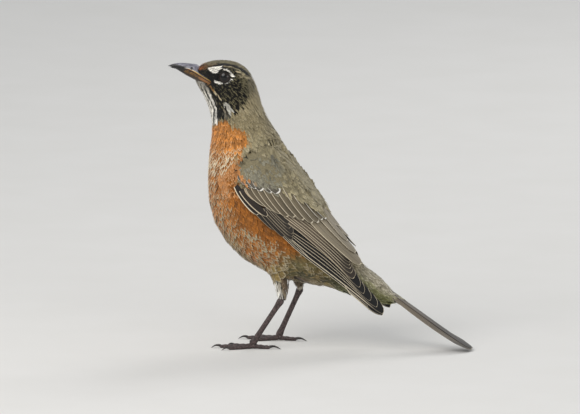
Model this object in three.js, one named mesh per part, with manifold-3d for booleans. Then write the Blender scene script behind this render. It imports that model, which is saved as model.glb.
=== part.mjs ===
// American robin (Turdus migratorius), life size, standing alert with its tail on the floor.
// Millimetres. +Z is up, the bird faces -X, and its left side is towards -Y.
// The floor is z = 0, and the finished group is centred over the middle of its own bounding box.
import * as THREE from "three";
import { mergeVertices } from "three/addons/utils/BufferGeometryUtils.js";
import Module from "manifold-3d";

const wasm = await Module();
wasm.setup();

// ---------------------------------------------------------------- driving dimensions

const GAP = 0.3; // air between pieces that meet
const SIDES = { left: -1, right: 1 };

// The body in side view, from crown to tail coverts. Each station is a slice from the throat, breast
// and belly (front) to the nape and back (back), with its half width. An egg above 0 makes the slice
// narrower in front.
const BODY = [
  { front: [-29.5, 178.9], back: [-29.4, 178.9], half: 0, egg: 0 }, // top of the crown
  { front: [-39.5, 176.6], back: [-18.2, 177.2], half: 8.6, egg: 0.2 }, // crown
  { front: [-45.2, 171.2], back: [-10.2, 171.2], half: 12.0, egg: 0.34 }, // bill root and eyes
  { front: [-42.6, 162.2], back: [-5.5, 161.6], half: 13.0, egg: 0.22 }, // cheeks
  { front: [-38.0, 152.2], back: [-2.6, 151.4], half: 12.9, egg: 0.12 }, // throat
  { front: [-34.9, 139.0], back: [2.8, 140.0], half: 15.4, egg: 0.1 }, // neck
  { front: [-36.2, 124.0], back: [12.4, 126.0], half: 20.6, egg: 0.08 }, // shoulders
  { front: [-37.4, 103.0], back: [23.0, 107.0], half: 25.4, egg: 0.02 }, // breast
  { front: [-33.2, 77.0], back: [33.2, 89.2], half: 26.6, egg: 0 }, // flanks
  { front: [-14.5, 55.0], back: [43.4, 72.2], half: 23.4, egg: 0 }, // belly
  { front: [13.5, 42.0], back: [53.6, 58.4], half: 16.4, egg: 0 }, // vent
  { front: [41.0, 37.8], back: [63.8, 50.8], half: 10.2, egg: 0 }, // under tail
  { front: [62.0, 30.2], back: [78.0, 38.6], half: 7.8, egg: 0 }, // tail coverts
  { front: [78.4, 27.4], back: [78.5, 27.5], half: 0, egg: 0 },
];
const AROUND = 24; // facets round the body
const HEAD_FROM = 150.5; // height of the cut between neck and head
const NECK_FROM = 131; // height of the cut between trunk and neck
const TAIL_COVERTS_FROM = 56; // how far back the coverts of the tail start

// The head is turned a little to the left of the body.
const HEAD_TURN = THREE.MathUtils.degToRad(7);
const TURN_AXIS = [-17, 0];
const TURN_FROM = 128; // height where the turn starts
const TURN_WHOLE = 158; // height where it is complete

const EYE = { at: [-24.7, 8.8, 171.3], radius: 4.7 };

// The bill, from its tip to the corners of the mouth, which lie back under the eyes.
const BILL = [
  { front: [-61.2, 174.5], back: [-61.15, 174.6], half: 0 },
  { front: [-59.4, 173.3], back: [-59.6, 175.6], half: 0.9 },
  { front: [-54.9, 171.3], back: [-54.9, 176.3], half: 1.9 },
  { front: [-50.2, 169.4], back: [-50.3, 176.0], half: 2.9 },
  { front: [-45.8, 167.3], back: [-45.9, 175.3], half: 4.0 },
  { front: [-41.6, 166.0], back: [-41.6, 173.0], half: 5.6 },
  { front: [-36.5, 163.9], back: [-36.0, 168.6], half: 7.6 },
  { front: [-33.4, 163.0], back: [-33.3, 163.6], half: 0 },
];
// The edge where the two halves of the bill meet.
const MOUTH = [[-62, 174.4], [-55, 173.3], [-48, 171.4], [-41.4, 169.2], [-36.2, 166.4], [-33, 163.2]];

// The wing chart: u runs from the wrist to the wing tip. Across it, angle runs round the body, from 0
// on the wing's widest line to 90 degrees on the middle of the back.
const WRIST = [-15.3, 116.6];
const WING_TIP = [75.4, 23.2];
const WING_MID = through([[-10, 4], [30, 4], [65, 4], [84, 2.6], [100, 1.6], [131, 0]]); // widest line
const WING_HALF = through([[0, 21.6], [20, 25.2], [40, 26.2], [60, 25.2], [84, 20.8], [100, 17.2], [131, 13]]);
const WING_RISE = through([[0, 25.8], [20, 24.2], [40, 21.4], [65, 18.2], [84, 15.6], [100, 14.1], [131, 13]]);
const WING_UNDER = 34; // how gently the wing curls in below its widest line

// The tracts of a wing from the deepest layer to the top one. Each has the places of its roots and
// its tips at the leading edge and at the inner edge. Its feathers bow by a few degrees.
const FEATHER_THICK = 0.6;
const LAYER = FEATHER_THICK + GAP;
const TRACTS = {
  primaries: {
    layer: 0, count: 7, roots: [[44, -4.4], [40, 12]], tips: [[130.2, -0.6], [104, 22.7]], bow: 2.4,
  },
  secondaries: {
    layer: 1, count: 6, roots: [[26, 6], [46, 46]], tips: [[103, 21.3], [90, 52]], bow: 1,
  },
  primary_coverts: {
    layer: 2, count: 4, roots: [[17, -7.8], [18, 3]], tips: [[52, -4.9], [55.5, 7.4]], bow: 2.4,
  },
  tertials: {
    layer: 2, count: 3, roots: [[50, 25], [46, 80]], tips: [[98.4, 57], [77, 82]], bow: 1.2,
  },
  greater_coverts: {
    layer: 3, count: 7, roots: [[16, 1.2], [34, 60]], tips: [[41.5, 13.7], [61.5, 74]], bow: 0.8,
  },
  lesser_coverts: {
    layer: 4, count: 5, roots: [[0.6, 2], [0.6, 31]], tips: [[18, 2.3], [31, 36]], bow: 2,
  },
  scapulars: {
    layer: 4, count: 4, roots: [[0.6, 33], [3, 68]], tips: [[44, 42], [62, 72]], bow: 1,
  },
};
const WING_BED = { from: 0.2, to: 134, under: -11, inner: 84, depth: 25 }; // hollow in the trunk for a wing

// The closed tail, from its root under the coverts to its tip on the floor.
const TAIL = {
  root: [66, 41.6], tip: [129.6, -0.9], halfRoot: 5.6, halfTip: 11.2, thickRoot: 2.4, thickTip: 1.0, arch: 1.8,
};
const TAIL_FEATHERS = 12;

// Legs: thigh slices down to the ankle, then shank and foot.
const LEGS = {
  left: {
    thigh: [
      { front: [-6, 60], back: [24, 66], half: 5 },
      { front: [0.5, 51], back: [25, 54], half: 6.6 },
      { front: [6.2, 44.4], back: [17.4, 44.4], half: 5.2 },
      { front: [8.2, 38.4], back: [17.0, 37.6], half: 4.2 },
      { front: [9.4, 33.4], back: [15.4, 31.4], half: 2.9 },
      { front: [10.6, 31.0], back: [13.2, 30.2], half: 0 },
    ],
    ankle: [14.0, 32.2], foot: [-4.0, 3.1],
  },
  right: {
    thigh: [
      { front: [-2, 60], back: [30, 66], half: 5 },
      { front: [6, 51], back: [30, 54], half: 6.6 },
      { front: [12.2, 45.8], back: [23.0, 45.8], half: 5.2 },
      { front: [14.0, 40.4], back: [22.6, 39.6], half: 4.2 },
      { front: [15.4, 36.0], back: [21.0, 34.0], half: 2.9 },
      { front: [16.6, 33.6], back: [19.2, 32.8], half: 0 },
    ],
    ankle: [19.6, 34.6], foot: [5.4, 3.1],
  },
};
const ANKLE_OUT = 15; // from the middle of the bird to an ankle
const FOOT_OUT = 15.8;
const SHANK = { deep: 1.6, half: 1.15 };
const SHANK_SWELLS = [
  [-0.05, 0], [-0.02, 1.2], [0.05, 1.3], [0.16, 1], [0.5, 0.9], [0.86, 1], [1, 1.25], [1.06, 0],
];
// Toes turn away from the bird's middle line. Claws follow on from them.
const TOES = {
  inner: { length: 14.5, turn: 24, claw: 5.0, fat: 1.15 },
  middle: { length: 20.5, turn: -2, claw: 5.8, fat: 1.25 },
  outer: { length: 15.5, turn: -28, claw: 5.0, fat: 1.15 },
  hind: { length: 11.0, turn: 178, claw: 7.6, fat: 1.3 },
};
const KNUCKLES = [[0, 0], [0.09, 1.15], [0.32, 0.86], [0.46, 1.06], [0.7, 0.82], [0.94, 0.8], [1, 0]];
const CLAW_TAPER = [[0, 0], [0.1, 0.7], [0.45, 0.56], [0.8, 0.32], [1, 0]];
const FLAT = 0.3; // how much of toes, claws and tail the floor flattens

// Colours and finishes.
const plumage = (color) => new THREE.MeshStandardMaterial({ color, roughness: 0.9 });
const MATERIALS = {
  head: plumage(0x3a332b),
  back: plumage(0x776b5b),
  breast: plumage(0xb5602c),
  thigh: plumage(0xa49c8b),
  quill: plumage(0x4b4339),
  covert: plumage(0x736b60),
  bill: new THREE.MeshStandardMaterial({ color: 0x4a4a4c, roughness: 0.45 }),
  jaw: new THREE.MeshStandardMaterial({ color: 0xa9793a, roughness: 0.5 }),
  leg: new THREE.MeshStandardMaterial({ color: 0x3b2d28, roughness: 0.6 }),
  claw: new THREE.MeshStandardMaterial({ color: 0x1f1a18, roughness: 0.4 }),
  eye: new THREE.MeshStandardMaterial({ color: 0x0d0907, roughness: 0.05 }),
};

// ---------------------------------------------------------------- shared shapes

// A smooth function through pairs of [place, value], level past its ends.
function through(pairs) {
  const last = pairs.length - 1;
  const slope = (i) => {
    const [before, after] = [pairs[Math.max(i - 1, 0)], pairs[Math.min(i + 1, last)]];
    return (after[1] - before[1]) / (after[0] - before[0]);
  };
  return (x) => {
    const place = THREE.MathUtils.clamp(x, pairs[0][0], pairs[last][0]);
    const next = pairs.findIndex(([at], i) => i > 0 && at >= place);
    const [[x0, y0], [x1, y1]] = [pairs[next - 1], pairs[next]];
    const t = (place - x0) / (x1 - x0);
    const bend = slope(next - 1) * t * (1 - t) ** 2 - slope(next) * t * t * (1 - t);
    return y0 * (1 + 2 * t) * (1 - t) ** 2 + y1 * t * t * (3 - 2 * t) + (x1 - x0) * bend;
  };
}

// A closed geometry as a manifold-3d solid, with its faces turned outwards.
function solid(geometry) {
  const bare = new THREE.BufferGeometry().setAttribute("position", geometry.getAttribute("position"));
  if (geometry.index) bare.setIndex(geometry.index);
  const merged = mergeVertices(bare, 1e-4);
  const corners = merged.index.array;
  const triVerts = [];
  for (let i = 0; i < corners.length; i += 3) {
    const [a, b, c] = corners.subarray(i, i + 3);
    if (a !== b && b !== c && c !== a) triVerts.push(a, b, c);
  }
  const vertProperties = new Float32Array(merged.getAttribute("position").array);
  const made = (order) => new wasm.Manifold(
    new wasm.Mesh({ numProp: 3, vertProperties, triVerts: new Uint32Array(order) }),
  );
  return made(triVerts).volume() > 0 ? made(triVerts) : made(triVerts.reverse());
}

// A closed form through the stations. grow swells it, to cut room for it in a neighbour.
function loft(stations, { around = 12, steps = 2, grow = 0 } = {}) {
  const curve = (pick) => new THREE.CatmullRomCurve3(stations.map((s) => new THREE.Vector3(...pick(s))));
  const front = curve((s) => [s.front[0], 0, s.front[1]]);
  const back = curve((s) => [s.back[0], 0, s.back[1]]);
  const girth = curve((s) => [s.half, s.egg ?? 0, 0]);
  const rings = (stations.length - 1) * steps;
  const geometry = new THREE.SphereGeometry(1, around, rings);
  const position = geometry.getAttribute("position");
  const uv = geometry.getAttribute("uv");
  for (let i = 0; i < position.count; i += 1) {
    const t = Math.round((1 - uv.getY(i)) * rings) / rings;
    const angle = (Math.round(uv.getX(i) * around) / around) * 2 * Math.PI;
    const point = front.getPoint(t).add(back.getPoint(t)).multiplyScalar(0.5);
    if (t > 0 && t < 1) {
      const reach = front.getPoint(t).sub(back.getPoint(t)).multiplyScalar(0.5);
      const { x: half, y: egg } = girth.getPoint(t);
      point.addScaledVector(reach.setLength(reach.length() + grow), Math.cos(angle));
      point.y = (half + grow) * Math.sin(angle) * (1 - egg * Math.cos(angle));
    }
    position.setXYZ(i, point.x, point.y, point.z);
  }
  return solid(geometry);
}

// A thin plate. place(along, across, outer) gives the point for each node of its grid.
function plate(along, across, place) {
  const geometry = new THREE.BoxGeometry(1, 1, 1, along, across, 1);
  const position = geometry.getAttribute("position");
  for (let i = 0; i < position.count; i += 1) {
    const point = place(position.getX(i) + 0.5, position.getY(i) + 0.5, position.getZ(i) > 0);
    position.setXYZ(i, point.x, point.y, point.z);
  }
  return solid(geometry);
}

// All that lies beyond a level on one axis, as a big block.
function beyond(axis, level, side) {
  const size = 600;
  const centre = new THREE.Vector3();
  centre[axis] = level + (side * size) / 2;
  return solid(new THREE.BoxGeometry(size, size, size).translate(centre.x, centre.y, centre.z));
}

const floor = beyond("z", 0, -1);
const common = (form, ...others) => others.reduce((left, other) => left.intersect(other), form);
const cut = (form, ...tools) => tools.reduce((left, tool) => left.subtract(tool), form);

// ---------------------------------------------------------------- wings

const wingRun = new THREE.Vector2(WING_TIP[0] - WRIST[0], WING_TIP[1] - WRIST[1]).normalize();

// A place on the left wing's sheet, which bends over the flank and the back.
function onSheet(u, angle) {
  const bend = THREE.MathUtils.degToRad(angle);
  const v = WING_MID(u) - (bend > 0 ? WING_RISE(u) : WING_UNDER) * Math.sin(bend);
  const [x, z] = [WRIST[0] + u * wingRun.x + v * wingRun.y, WRIST[1] + u * wingRun.y - v * wingRun.x];
  return new THREE.Vector3(x, -WING_HALF(u) * Math.cos(bend), z);
}

// The same place raised off the sheet, for either side.
function onWing(u, angle, raise, side) {
  const alongU = onSheet(u + 0.5, angle).sub(onSheet(u - 0.5, angle));
  const around = onSheet(u, angle + 0.5).sub(onSheet(u, angle - 0.5));
  const point = onSheet(u, angle).addScaledVector(alongU.cross(around).normalize(), raise);
  point.y *= -side;
  return point;
}

// One tract: feathers side by side, with shallow seams between them and rounded tips.
function tract({ layer, count, roots, tips, bow }, side) {
  const between = (ends, c) => ends[0].map((value, k) => THREE.MathUtils.lerp(value, ends[1][k], c));
  return plate(4, count * 2, (s, c, outer) => {
    const seam = Math.round(c * count * 2) % 2 === 0;
    const shorter = (seam ? 0.045 : 0) + 0.05 * (2 * c - 1) ** 4;
    const run = (1 - s) * 0.1 * (2 * c - 1) ** 2 + s * (1 - shorter);
    const [u, angle] = between([between(roots, c), between(tips, c)], run);
    const thick = FEATHER_THICK - (seam ? 0.1 : 0);
    return onWing(u, angle - bow * Math.sin(Math.PI * run), layer * LAYER + GAP + (outer ? thick : 0), side);
  });
}

function wingBed(side) {
  const { from, to, under, inner, depth } = WING_BED;
  return plate(8, 6, (s, c, outer) => (
    onWing(THREE.MathUtils.lerp(from, to, s), THREE.MathUtils.lerp(under, inner, c), outer ? depth : 0, side)
  ));
}

function wingParts(name, side) {
  return Object.fromEntries(Object.entries(TRACTS).map(([key, spec]) => [
    `wing_${name}_${key}`, [tract(spec, side), spec.layer < 3 ? MATERIALS.quill : MATERIALS.covert],
  ]));
}

// ---------------------------------------------------------------- head and neck

const body = loft(BODY, { around: AROUND });
const billForm = (grow) => loft(BILL, { around: 12, steps: 1, grow });
const eyeBall = (side, grow) => solid(
  new THREE.SphereGeometry(EYE.radius + grow, 14, 8).translate(EYE.at[0], side * EYE.at[1], EYE.at[2]),
);

// All that lies above or below the edge where the halves of the bill meet.
function mouthSide(side) {
  const line = MOUTH.map(([x, z]) => new THREE.Vector2(x, z + (side * GAP) / 2));
  const shape = new THREE.Shape([
    ...line, new THREE.Vector2(0, line.at(-1).y), new THREE.Vector2(0, line[0].y + side * 40),
    new THREE.Vector2(-90, line[0].y + side * 40), new THREE.Vector2(-90, line[0].y),
  ]);
  const wedge = new THREE.ExtrudeGeometry(shape, { depth: 80, bevelEnabled: false });
  return solid(wedge.rotateX(Math.PI / 2).translate(0, 40, 0));
}

function headParts() {
  const aboveNeck = common(body, beyond("z", HEAD_FROM + GAP / 2, 1));
  const neck = common(body, beyond("z", HEAD_FROM - GAP / 2, -1), beyond("z", NECK_FROM + GAP / 2, 1));
  const eyeRooms = Object.values(SIDES).map((side) => eyeBall(side, GAP));
  return {
    head: [cut(aboveNeck, billForm(GAP), ...eyeRooms), MATERIALS.head],
    bill_upper: [common(billForm(0), mouthSide(1)), MATERIALS.bill],
    bill_lower: [common(billForm(0), mouthSide(-1)), MATERIALS.jaw],
    eye_left: [eyeBall(SIDES.left, 0), MATERIALS.eye],
    eye_right: [eyeBall(SIDES.right, 0), MATERIALS.eye],
    neck: [neck, MATERIALS.breast],
  };
}

// ---------------------------------------------------------------- trunk and tail

// The tail arches over from edge to edge, and its feathers meet in shallow seams.
function tailForm(grow) {
  const root = new THREE.Vector3(TAIL.root[0], 0, TAIL.root[1]);
  const run = new THREE.Vector3(TAIL.tip[0], 0, TAIL.tip[1]).sub(root);
  const up = new THREE.Vector3(-run.z, 0, run.x).normalize();
  const columns = grow > 0 ? TAIL_FEATHERS : TAIL_FEATHERS * 2;
  return plate(4, columns, (s, c, outer) => {
    const across = 2 * c - 1;
    const seam = grow === 0 && Math.round(c * columns) % 2 === 0;
    const length = s * (1 - (seam ? 0.012 : 0) - 0.03 * across ** 4);
    const half = THREE.MathUtils.lerp(TAIL.halfRoot, TAIL.halfTip, length) + grow;
    const thick = THREE.MathUtils.lerp(TAIL.thickRoot, TAIL.thickTip, length) / 2 + grow;
    const rise = TAIL.arch * (1 - across ** 2) + (outer ? thick - (seam ? 0.2 : 0) : -thick);
    const point = root.clone().addScaledVector(run, length).addScaledVector(up, rise);
    return point.setY(half * across);
  });
}

function trunkParts() {
  const beds = Object.values(SIDES).map((side) => wingBed(side));
  const trunk = cut(common(body, beyond("z", NECK_FROM - GAP / 2, -1)), ...beds);
  const rear = common(trunk, beyond("x", TAIL_COVERTS_FROM + GAP / 2, 1));
  return {
    trunk: [common(trunk, beyond("x", TAIL_COVERTS_FROM - GAP / 2, -1)), MATERIALS.breast],
    tail_coverts: [cut(rear, tailForm(GAP)), MATERIALS.back],
    tail: [cut(tailForm(0), floor), MATERIALS.quill],
  };
}

// ---------------------------------------------------------------- legs and feet

// A shank between two places, oval in section.
function limb(from, to, grow) {
  const length = from.distanceTo(to);
  const stations = SHANK_SWELLS.map(([at, swell]) => {
    const deep = swell > 0 ? SHANK.deep * swell + grow : 0.05;
    return { front: [at * length, -deep], back: [at * length, deep], half: SHANK.half * swell + grow };
  });
  const run = to.clone().sub(from).normalize();
  const sideways = new THREE.Vector3(0, 1, 0).addScaledVector(run, -run.y).normalize();
  const frame = new THREE.Matrix4().makeBasis(run, sideways, run.clone().cross(sideways)).setPosition(from);
  return loft(stations, { around: 10, steps: 1 }).transform(frame.elements);
}

function onFoot(form, turn, foot, side) {
  const frame = new THREE.Matrix4().makeRotationZ(Math.PI + THREE.MathUtils.degToRad(turn) * side);
  return cut(form.transform(frame.setPosition(foot.x, foot.y, 0).elements), floor);
}

function toe({ length, turn, fat }, foot, side, grow) {
  const drop = 0.9; // the toe's root lies higher than its tip
  const stations = KNUCKLES.map(([at, size]) => {
    const centre = fat * 0.92 - FLAT + drop * (1 - at) ** 2;
    const deep = size > 0 ? fat * size * 0.95 + grow : 0.02;
    const half = fat * size + grow;
    return { front: [at * length, centre - deep], back: [at * length, centre + deep], half };
  });
  return onFoot(loft(stations, { around: 8, steps: 1 }), turn, foot, side);
}

function claw({ length, turn, claw: reach, fat }, foot, side) {
  const start = length - GAP;
  const stations = CLAW_TAPER.map(([at, size]) => {
    const arch = 0.85 * Math.sin(Math.PI * (at * 0.9 + 0.12)) - 0.65 * at;
    const [x, z, deep] = [start + at * reach, fat * (0.75 + arch) - FLAT, Math.max(size * fat, 0.02)];
    return { front: [x, z - deep], back: [x, z + deep], half: size * 0.65 * fat };
  });
  return onFoot(loft(stations, { around: 6, steps: 1 }), turn, foot, side);
}

function legParts(name, side) {
  const { thigh, ankle, foot } = LEGS[name];
  const ankleAt = new THREE.Vector3(ankle[0], side * ANKLE_OUT, ankle[1]);
  const footAt = new THREE.Vector3(foot[0], side * FOOT_OUT, foot[1]);
  const room = limb(ankleAt, footAt, GAP);
  const outwards = new THREE.Matrix4().makeTranslation(0, side * ANKLE_OUT * 0.92, 0);
  const thighForm = loft(thigh, { around: 12, steps: 1 }).transform(outwards.elements);
  const parts = {
    [`thigh_${name}`]: [cut(thighForm, loft(BODY, { around: AROUND, grow: GAP }), room), MATERIALS.thigh],
    [`shank_${name}`]: [cut(limb(ankleAt, footAt, 0), floor), MATERIALS.leg],
  };
  const taken = [room];
  Object.entries(TOES).forEach(([key, spec]) => {
    parts[`toe_${name}_${key}`] = [cut(toe(spec, footAt, side, 0), ...taken), MATERIALS.leg];
    taken.push(toe(spec, footAt, side, GAP));
    parts[`claw_${name}_${key}`] = [cut(claw(spec, footAt, side), taken.at(-1)), MATERIALS.claw];
  });
  return parts;
}

// ---------------------------------------------------------------- the whole bird

// Turns a place on the head or neck to the left, about an upright axis through the neck.
function turned(x, y, z) {
  const angle = HEAD_TURN * THREE.MathUtils.smoothstep(z, TURN_FROM, TURN_WHOLE);
  const arm = new THREE.Vector2(x, y).rotateAround(new THREE.Vector2(...TURN_AXIS), angle);
  return [arm.x, arm.y, z];
}

function meshOf(name, form, material) {
  const { vertProperties, triVerts, numProp, numVert } = form.getMesh();
  const corners = new Float32Array(numVert * 3);
  for (let i = 0; i < numVert; i += 1) {
    corners.set(turned(...vertProperties.subarray(i * numProp, i * numProp + 3)), i * 3);
  }
  const geometry = new THREE.BufferGeometry()
    .setAttribute("position", new THREE.BufferAttribute(corners, 3))
    .setIndex(new THREE.BufferAttribute(triVerts, 1));
  geometry.computeVertexNormals();
  const mesh = new THREE.Mesh(geometry, material);
  mesh.name = name;
  return mesh;
}

const parts = {
  ...headParts(),
  ...trunkParts(),
  ...wingParts("left", SIDES.left),
  ...wingParts("right", SIDES.right),
  ...legParts("left", SIDES.left),
  ...legParts("right", SIDES.right),
};

const robin = new THREE.Group();
Object.entries(parts).forEach(([name, [form, material]]) => robin.add(meshOf(name, form, material)));

// The origin is the middle of the bird's box, on the floor.
const middle = new THREE.Box3().setFromObject(robin).getCenter(new THREE.Vector3());
robin.children.forEach((mesh) => mesh.geometry.translate(-middle.x, -middle.y, 0));

export default robin;
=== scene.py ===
# %% [markdown]
# # A standing American robin
#
# A museum model of a bird is dressed from the inside out: a bare body first, then a coat of small
# feathers, each over the roots of the next, then the big stiff feathers of wings and tail, and last
# the hard parts, which are bill, eyes, legs and claws. This script goes the same way. The solids that
# it starts from give the size and the outline, and rows of feathers and marks are placed on them. It
# could also be sculpted as one lump with a painted surface, but plumage made of real vanes breaks the
# outline and catches light as feathers do.

# %% The solids that everything is fitted to
import math

import bmesh
import bpy
import numpy as np
from mathutils import Matrix, Vector
from mathutils.bvhtree import BVHTree
from mathutils.kdtree import KDTree


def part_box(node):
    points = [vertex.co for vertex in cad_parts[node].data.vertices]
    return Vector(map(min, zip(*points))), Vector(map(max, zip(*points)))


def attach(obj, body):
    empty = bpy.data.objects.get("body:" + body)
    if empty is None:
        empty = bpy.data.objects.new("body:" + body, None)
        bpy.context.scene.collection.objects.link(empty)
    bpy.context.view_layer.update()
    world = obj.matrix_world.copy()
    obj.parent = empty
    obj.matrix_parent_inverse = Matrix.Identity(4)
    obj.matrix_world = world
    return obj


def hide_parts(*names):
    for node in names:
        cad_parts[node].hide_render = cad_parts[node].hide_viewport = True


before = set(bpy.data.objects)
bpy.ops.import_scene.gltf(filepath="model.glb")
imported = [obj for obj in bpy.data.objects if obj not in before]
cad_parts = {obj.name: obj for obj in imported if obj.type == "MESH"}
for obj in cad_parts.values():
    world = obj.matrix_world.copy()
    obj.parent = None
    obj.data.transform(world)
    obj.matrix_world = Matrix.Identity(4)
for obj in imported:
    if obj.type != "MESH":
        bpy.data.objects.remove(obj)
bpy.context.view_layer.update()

# %% [markdown]
# ## Units, sides and chance
#
# A bird in the hand is measured in millimetres, so places are worked out in millimetres and turned to
# metres as each mesh is made. The bird faces -X and its left side is towards -Y. Feathers never lie
# quite alike, so much below is drawn from a seeded generator, which gives the same bird each time.

# %% Units, sides and the shared helpers for numbers
MM = 0.001
SIDES = {"left": -1, "right": 1}
chance = np.random.default_rng(61)
WAVES = 9  # how many waves make the soft patches


def ramp(value, low, high):
    """0 up to low and 1 from high, smooth between them. It falls where low is the larger."""
    part = np.clip((value - low) / (high - low), 0, 1)
    return part * part * (3 - 2 * part)


def unit(vectors):
    """The same directions with a length of one."""
    return vectors / np.maximum(np.linalg.norm(vectors, axis=-1, keepdims=True), 1e-9)


def mix(first, second, part):
    """Goes from first to second as part goes from 0 to 1."""
    return first + (np.asarray(second) - first) * part


def middle(node):
    """The middle of a solid's box, in millimetres."""
    low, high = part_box(node)
    return np.array((low + high) / 2) / MM


def through(pairs):
    """A smooth function through pairs of place and value, level past its ends."""
    at, value = np.array(pairs, float).T
    last = len(at) - 1
    before, after = np.maximum(np.arange(last + 1) - 1, 0), np.minimum(np.arange(last + 1) + 1, last)
    slope = (value[after] - value[before]) / (at[after] - at[before])

    def smooth(place):
        place = np.clip(place, at[0], at[-1])
        i = np.clip(np.searchsorted(at, place) - 1, 0, last - 1)
        step = at[i + 1] - at[i]
        t = (place - at[i]) / step
        level = value[i] * (1 + 2 * t) * (1 - t) ** 2 + value[i + 1] * t * t * (3 - 2 * t)
        return level + step * (slope[i] * t * (1 - t) ** 2 - slope[i + 1] * t * t * (1 - t))

    return smooth


def patches(points, size, seed):
    """Soft random patches of about a size, from -1 to 1, as a few crossed waves."""
    draw = np.random.default_rng(seed)
    waves = draw.normal(size=(WAVES, 3)) / size
    return np.clip(np.sin(2.2 * points @ waves.T + draw.uniform(0, 6.28, WAVES)).sum(axis=1) / 3.2, -1, 1)


# %% [markdown]
# ## The turn of the head
#
# The head is turned seven degrees to its left on the neck. Its markings are the same on both cheeks,
# so they are laid out on a head that looks straight ahead. These two functions go between that head
# and the turned one.

# %% Turning the head and the neck
HEAD_TURN = math.radians(7)
TURN_AXIS = np.array([-52.0, 0.0])
TURN_FROM, TURN_WHOLE = 128, 158  # heights where the turn starts and where it is complete


def spun(points, angle):
    """Points turned about the upright axis of the neck."""
    arm = points[..., :2] - TURN_AXIS
    x = arm[..., 0] * np.cos(angle) - arm[..., 1] * np.sin(angle)
    y = arm[..., 0] * np.sin(angle) + arm[..., 1] * np.cos(angle)
    return np.stack([x + TURN_AXIS[0], y, points[..., 2]], axis=-1)


def turn_at(points):
    """How far each point turns with the head, none below the neck."""
    return HEAD_TURN * ramp(points[..., 2], TURN_FROM, TURN_WHOLE)


def turned(points):
    return spun(points, turn_at(points))


def unturned(points):
    return spun(points, -turn_at(points))


eye_middles = {side: middle("eye_" + side) for side in SIDES}
eye_radius = (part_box("eye_left")[1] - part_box("eye_left")[0]).z / 2 / MM
straight_eye = unturned(eye_middles["left"]) * [1, -1, 1]
face_centre = straight_eye + [-0.5, -0.3, -0.95]  # about the ball's middle: the marks are measured from it
print("eye at", straight_eye.round(1), "radius", round(eye_radius, 2))

# %% [markdown]
# ## Making meshes
#
# The coat has thousands of vanes with one shared outline, so its mesh is filled straight from arrays,
# which takes a moment where an operator for each vane would take an hour. Its corners carry two maps:
# `vane`, the place on the feather, for the shader, and `OFBake`, the place on the bird. Everything
# else is a bmesh, which `piece_of` turns into an object in metres. `finish_piece` gives each of them
# its material and lets it ride on the body.

# %% From arrays and from bmesh to pieces
def finish_piece(piece, finish, slot, *stands_for):
    """Gives a piece its material, lets it ride on the body and hides the solids that it stands for."""
    piece.data.materials.append(finish)
    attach(piece, "root")
    if stands_for:
        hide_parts(*stands_for)
    return piece


def object_of(name, mesh):
    piece = bpy.data.objects.new(name, mesh)
    bpy.context.scene.collection.objects.link(piece)
    return piece


def piece_of(name, form):
    """An object from a bmesh that was shaped in millimetres."""
    mesh = bpy.data.meshes.new(name)
    bmesh.ops.recalc_face_normals(form, faces=form.faces)
    form.to_mesh(mesh)
    form.free()
    mesh.transform(Matrix.Scale(MM, 4))
    mesh.polygons.foreach_set("use_smooth", [True] * len(mesh.polygons))
    return object_of(name, mesh)


def rounded(piece):
    """Smooths the facets of a piece once."""
    smooth = piece.modifiers.new("rounded", "SUBSURF")
    smooth.levels = smooth.render_levels = 1
    return piece


def thickened(piece, wall):
    """Gives a sheet a wall inwards, in millimetres."""
    thickness = piece.modifiers.new("thickness", "SOLIDIFY")
    thickness.thickness, thickness.offset = wall * MM, -1
    return piece


def quads_object(name, points, quads, corner_maps, point_colours):
    """An object from arrays: points (n, 3) in millimetres, quads (m, 4), maps and colours by name."""
    mesh = bpy.data.meshes.new(name)
    mesh.vertices.add(len(points))
    mesh.vertices.foreach_set("co", (points * MM).astype(np.float32).ravel())
    mesh.loops.add(quads.size)
    mesh.loops.foreach_set("vertex_index", quads.astype(np.int32).ravel())
    mesh.polygons.add(len(quads))
    mesh.polygons.foreach_set("loop_start", np.arange(0, quads.size, 4, dtype=np.int32))
    mesh.update(calc_edges=True)
    mesh.polygons.foreach_set("use_smooth", np.ones(len(quads), bool))
    for key, places in corner_maps.items():
        layer = mesh.uv_layers.new(name=key)
        layer.data.foreach_set("uv", places[quads.ravel()].astype(np.float32).ravel())
    for key, colours in point_colours.items():
        layer = mesh.color_attributes.new(name=key, type="FLOAT_COLOR", domain="POINT")
        layer.data.foreach_set("color", colours.astype(np.float32).ravel())
    return object_of(name, mesh)


def linear(colour):
    """Screen colours from 0 to 255 as the linear ones that shaders use."""
    c = np.asarray(colour, float) / 255
    return np.where(c <= 0.04045, c / 12.92, ((np.maximum(c, 0) + 0.055) / 1.055) ** 2.4)


# %% [markdown]
# ## A small language for materials
#
# A shader is a sum written with nodes. Two helpers keep it readable: `Value` wraps a socket, so that
# sums on it add their Math nodes, and `Finish` is one material, whose `node` method adds any other
# node with its settings and sockets.

# %% Values and finishes
class Value:
    """A number that varies over a surface."""

    def __init__(self, finish, socket):
        self.finish, self.socket = finish, socket

    def __add__(self, other):
        return self.finish.maths("ADD", self, other)

    def __sub__(self, other):
        return self.finish.maths("SUBTRACT", self, other)

    def __rsub__(self, other):
        return self.finish.maths("SUBTRACT", other, self)

    def __mul__(self, other):
        return self.finish.maths("MULTIPLY", self, other)

    __radd__, __rmul__ = __add__, __mul__


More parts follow.
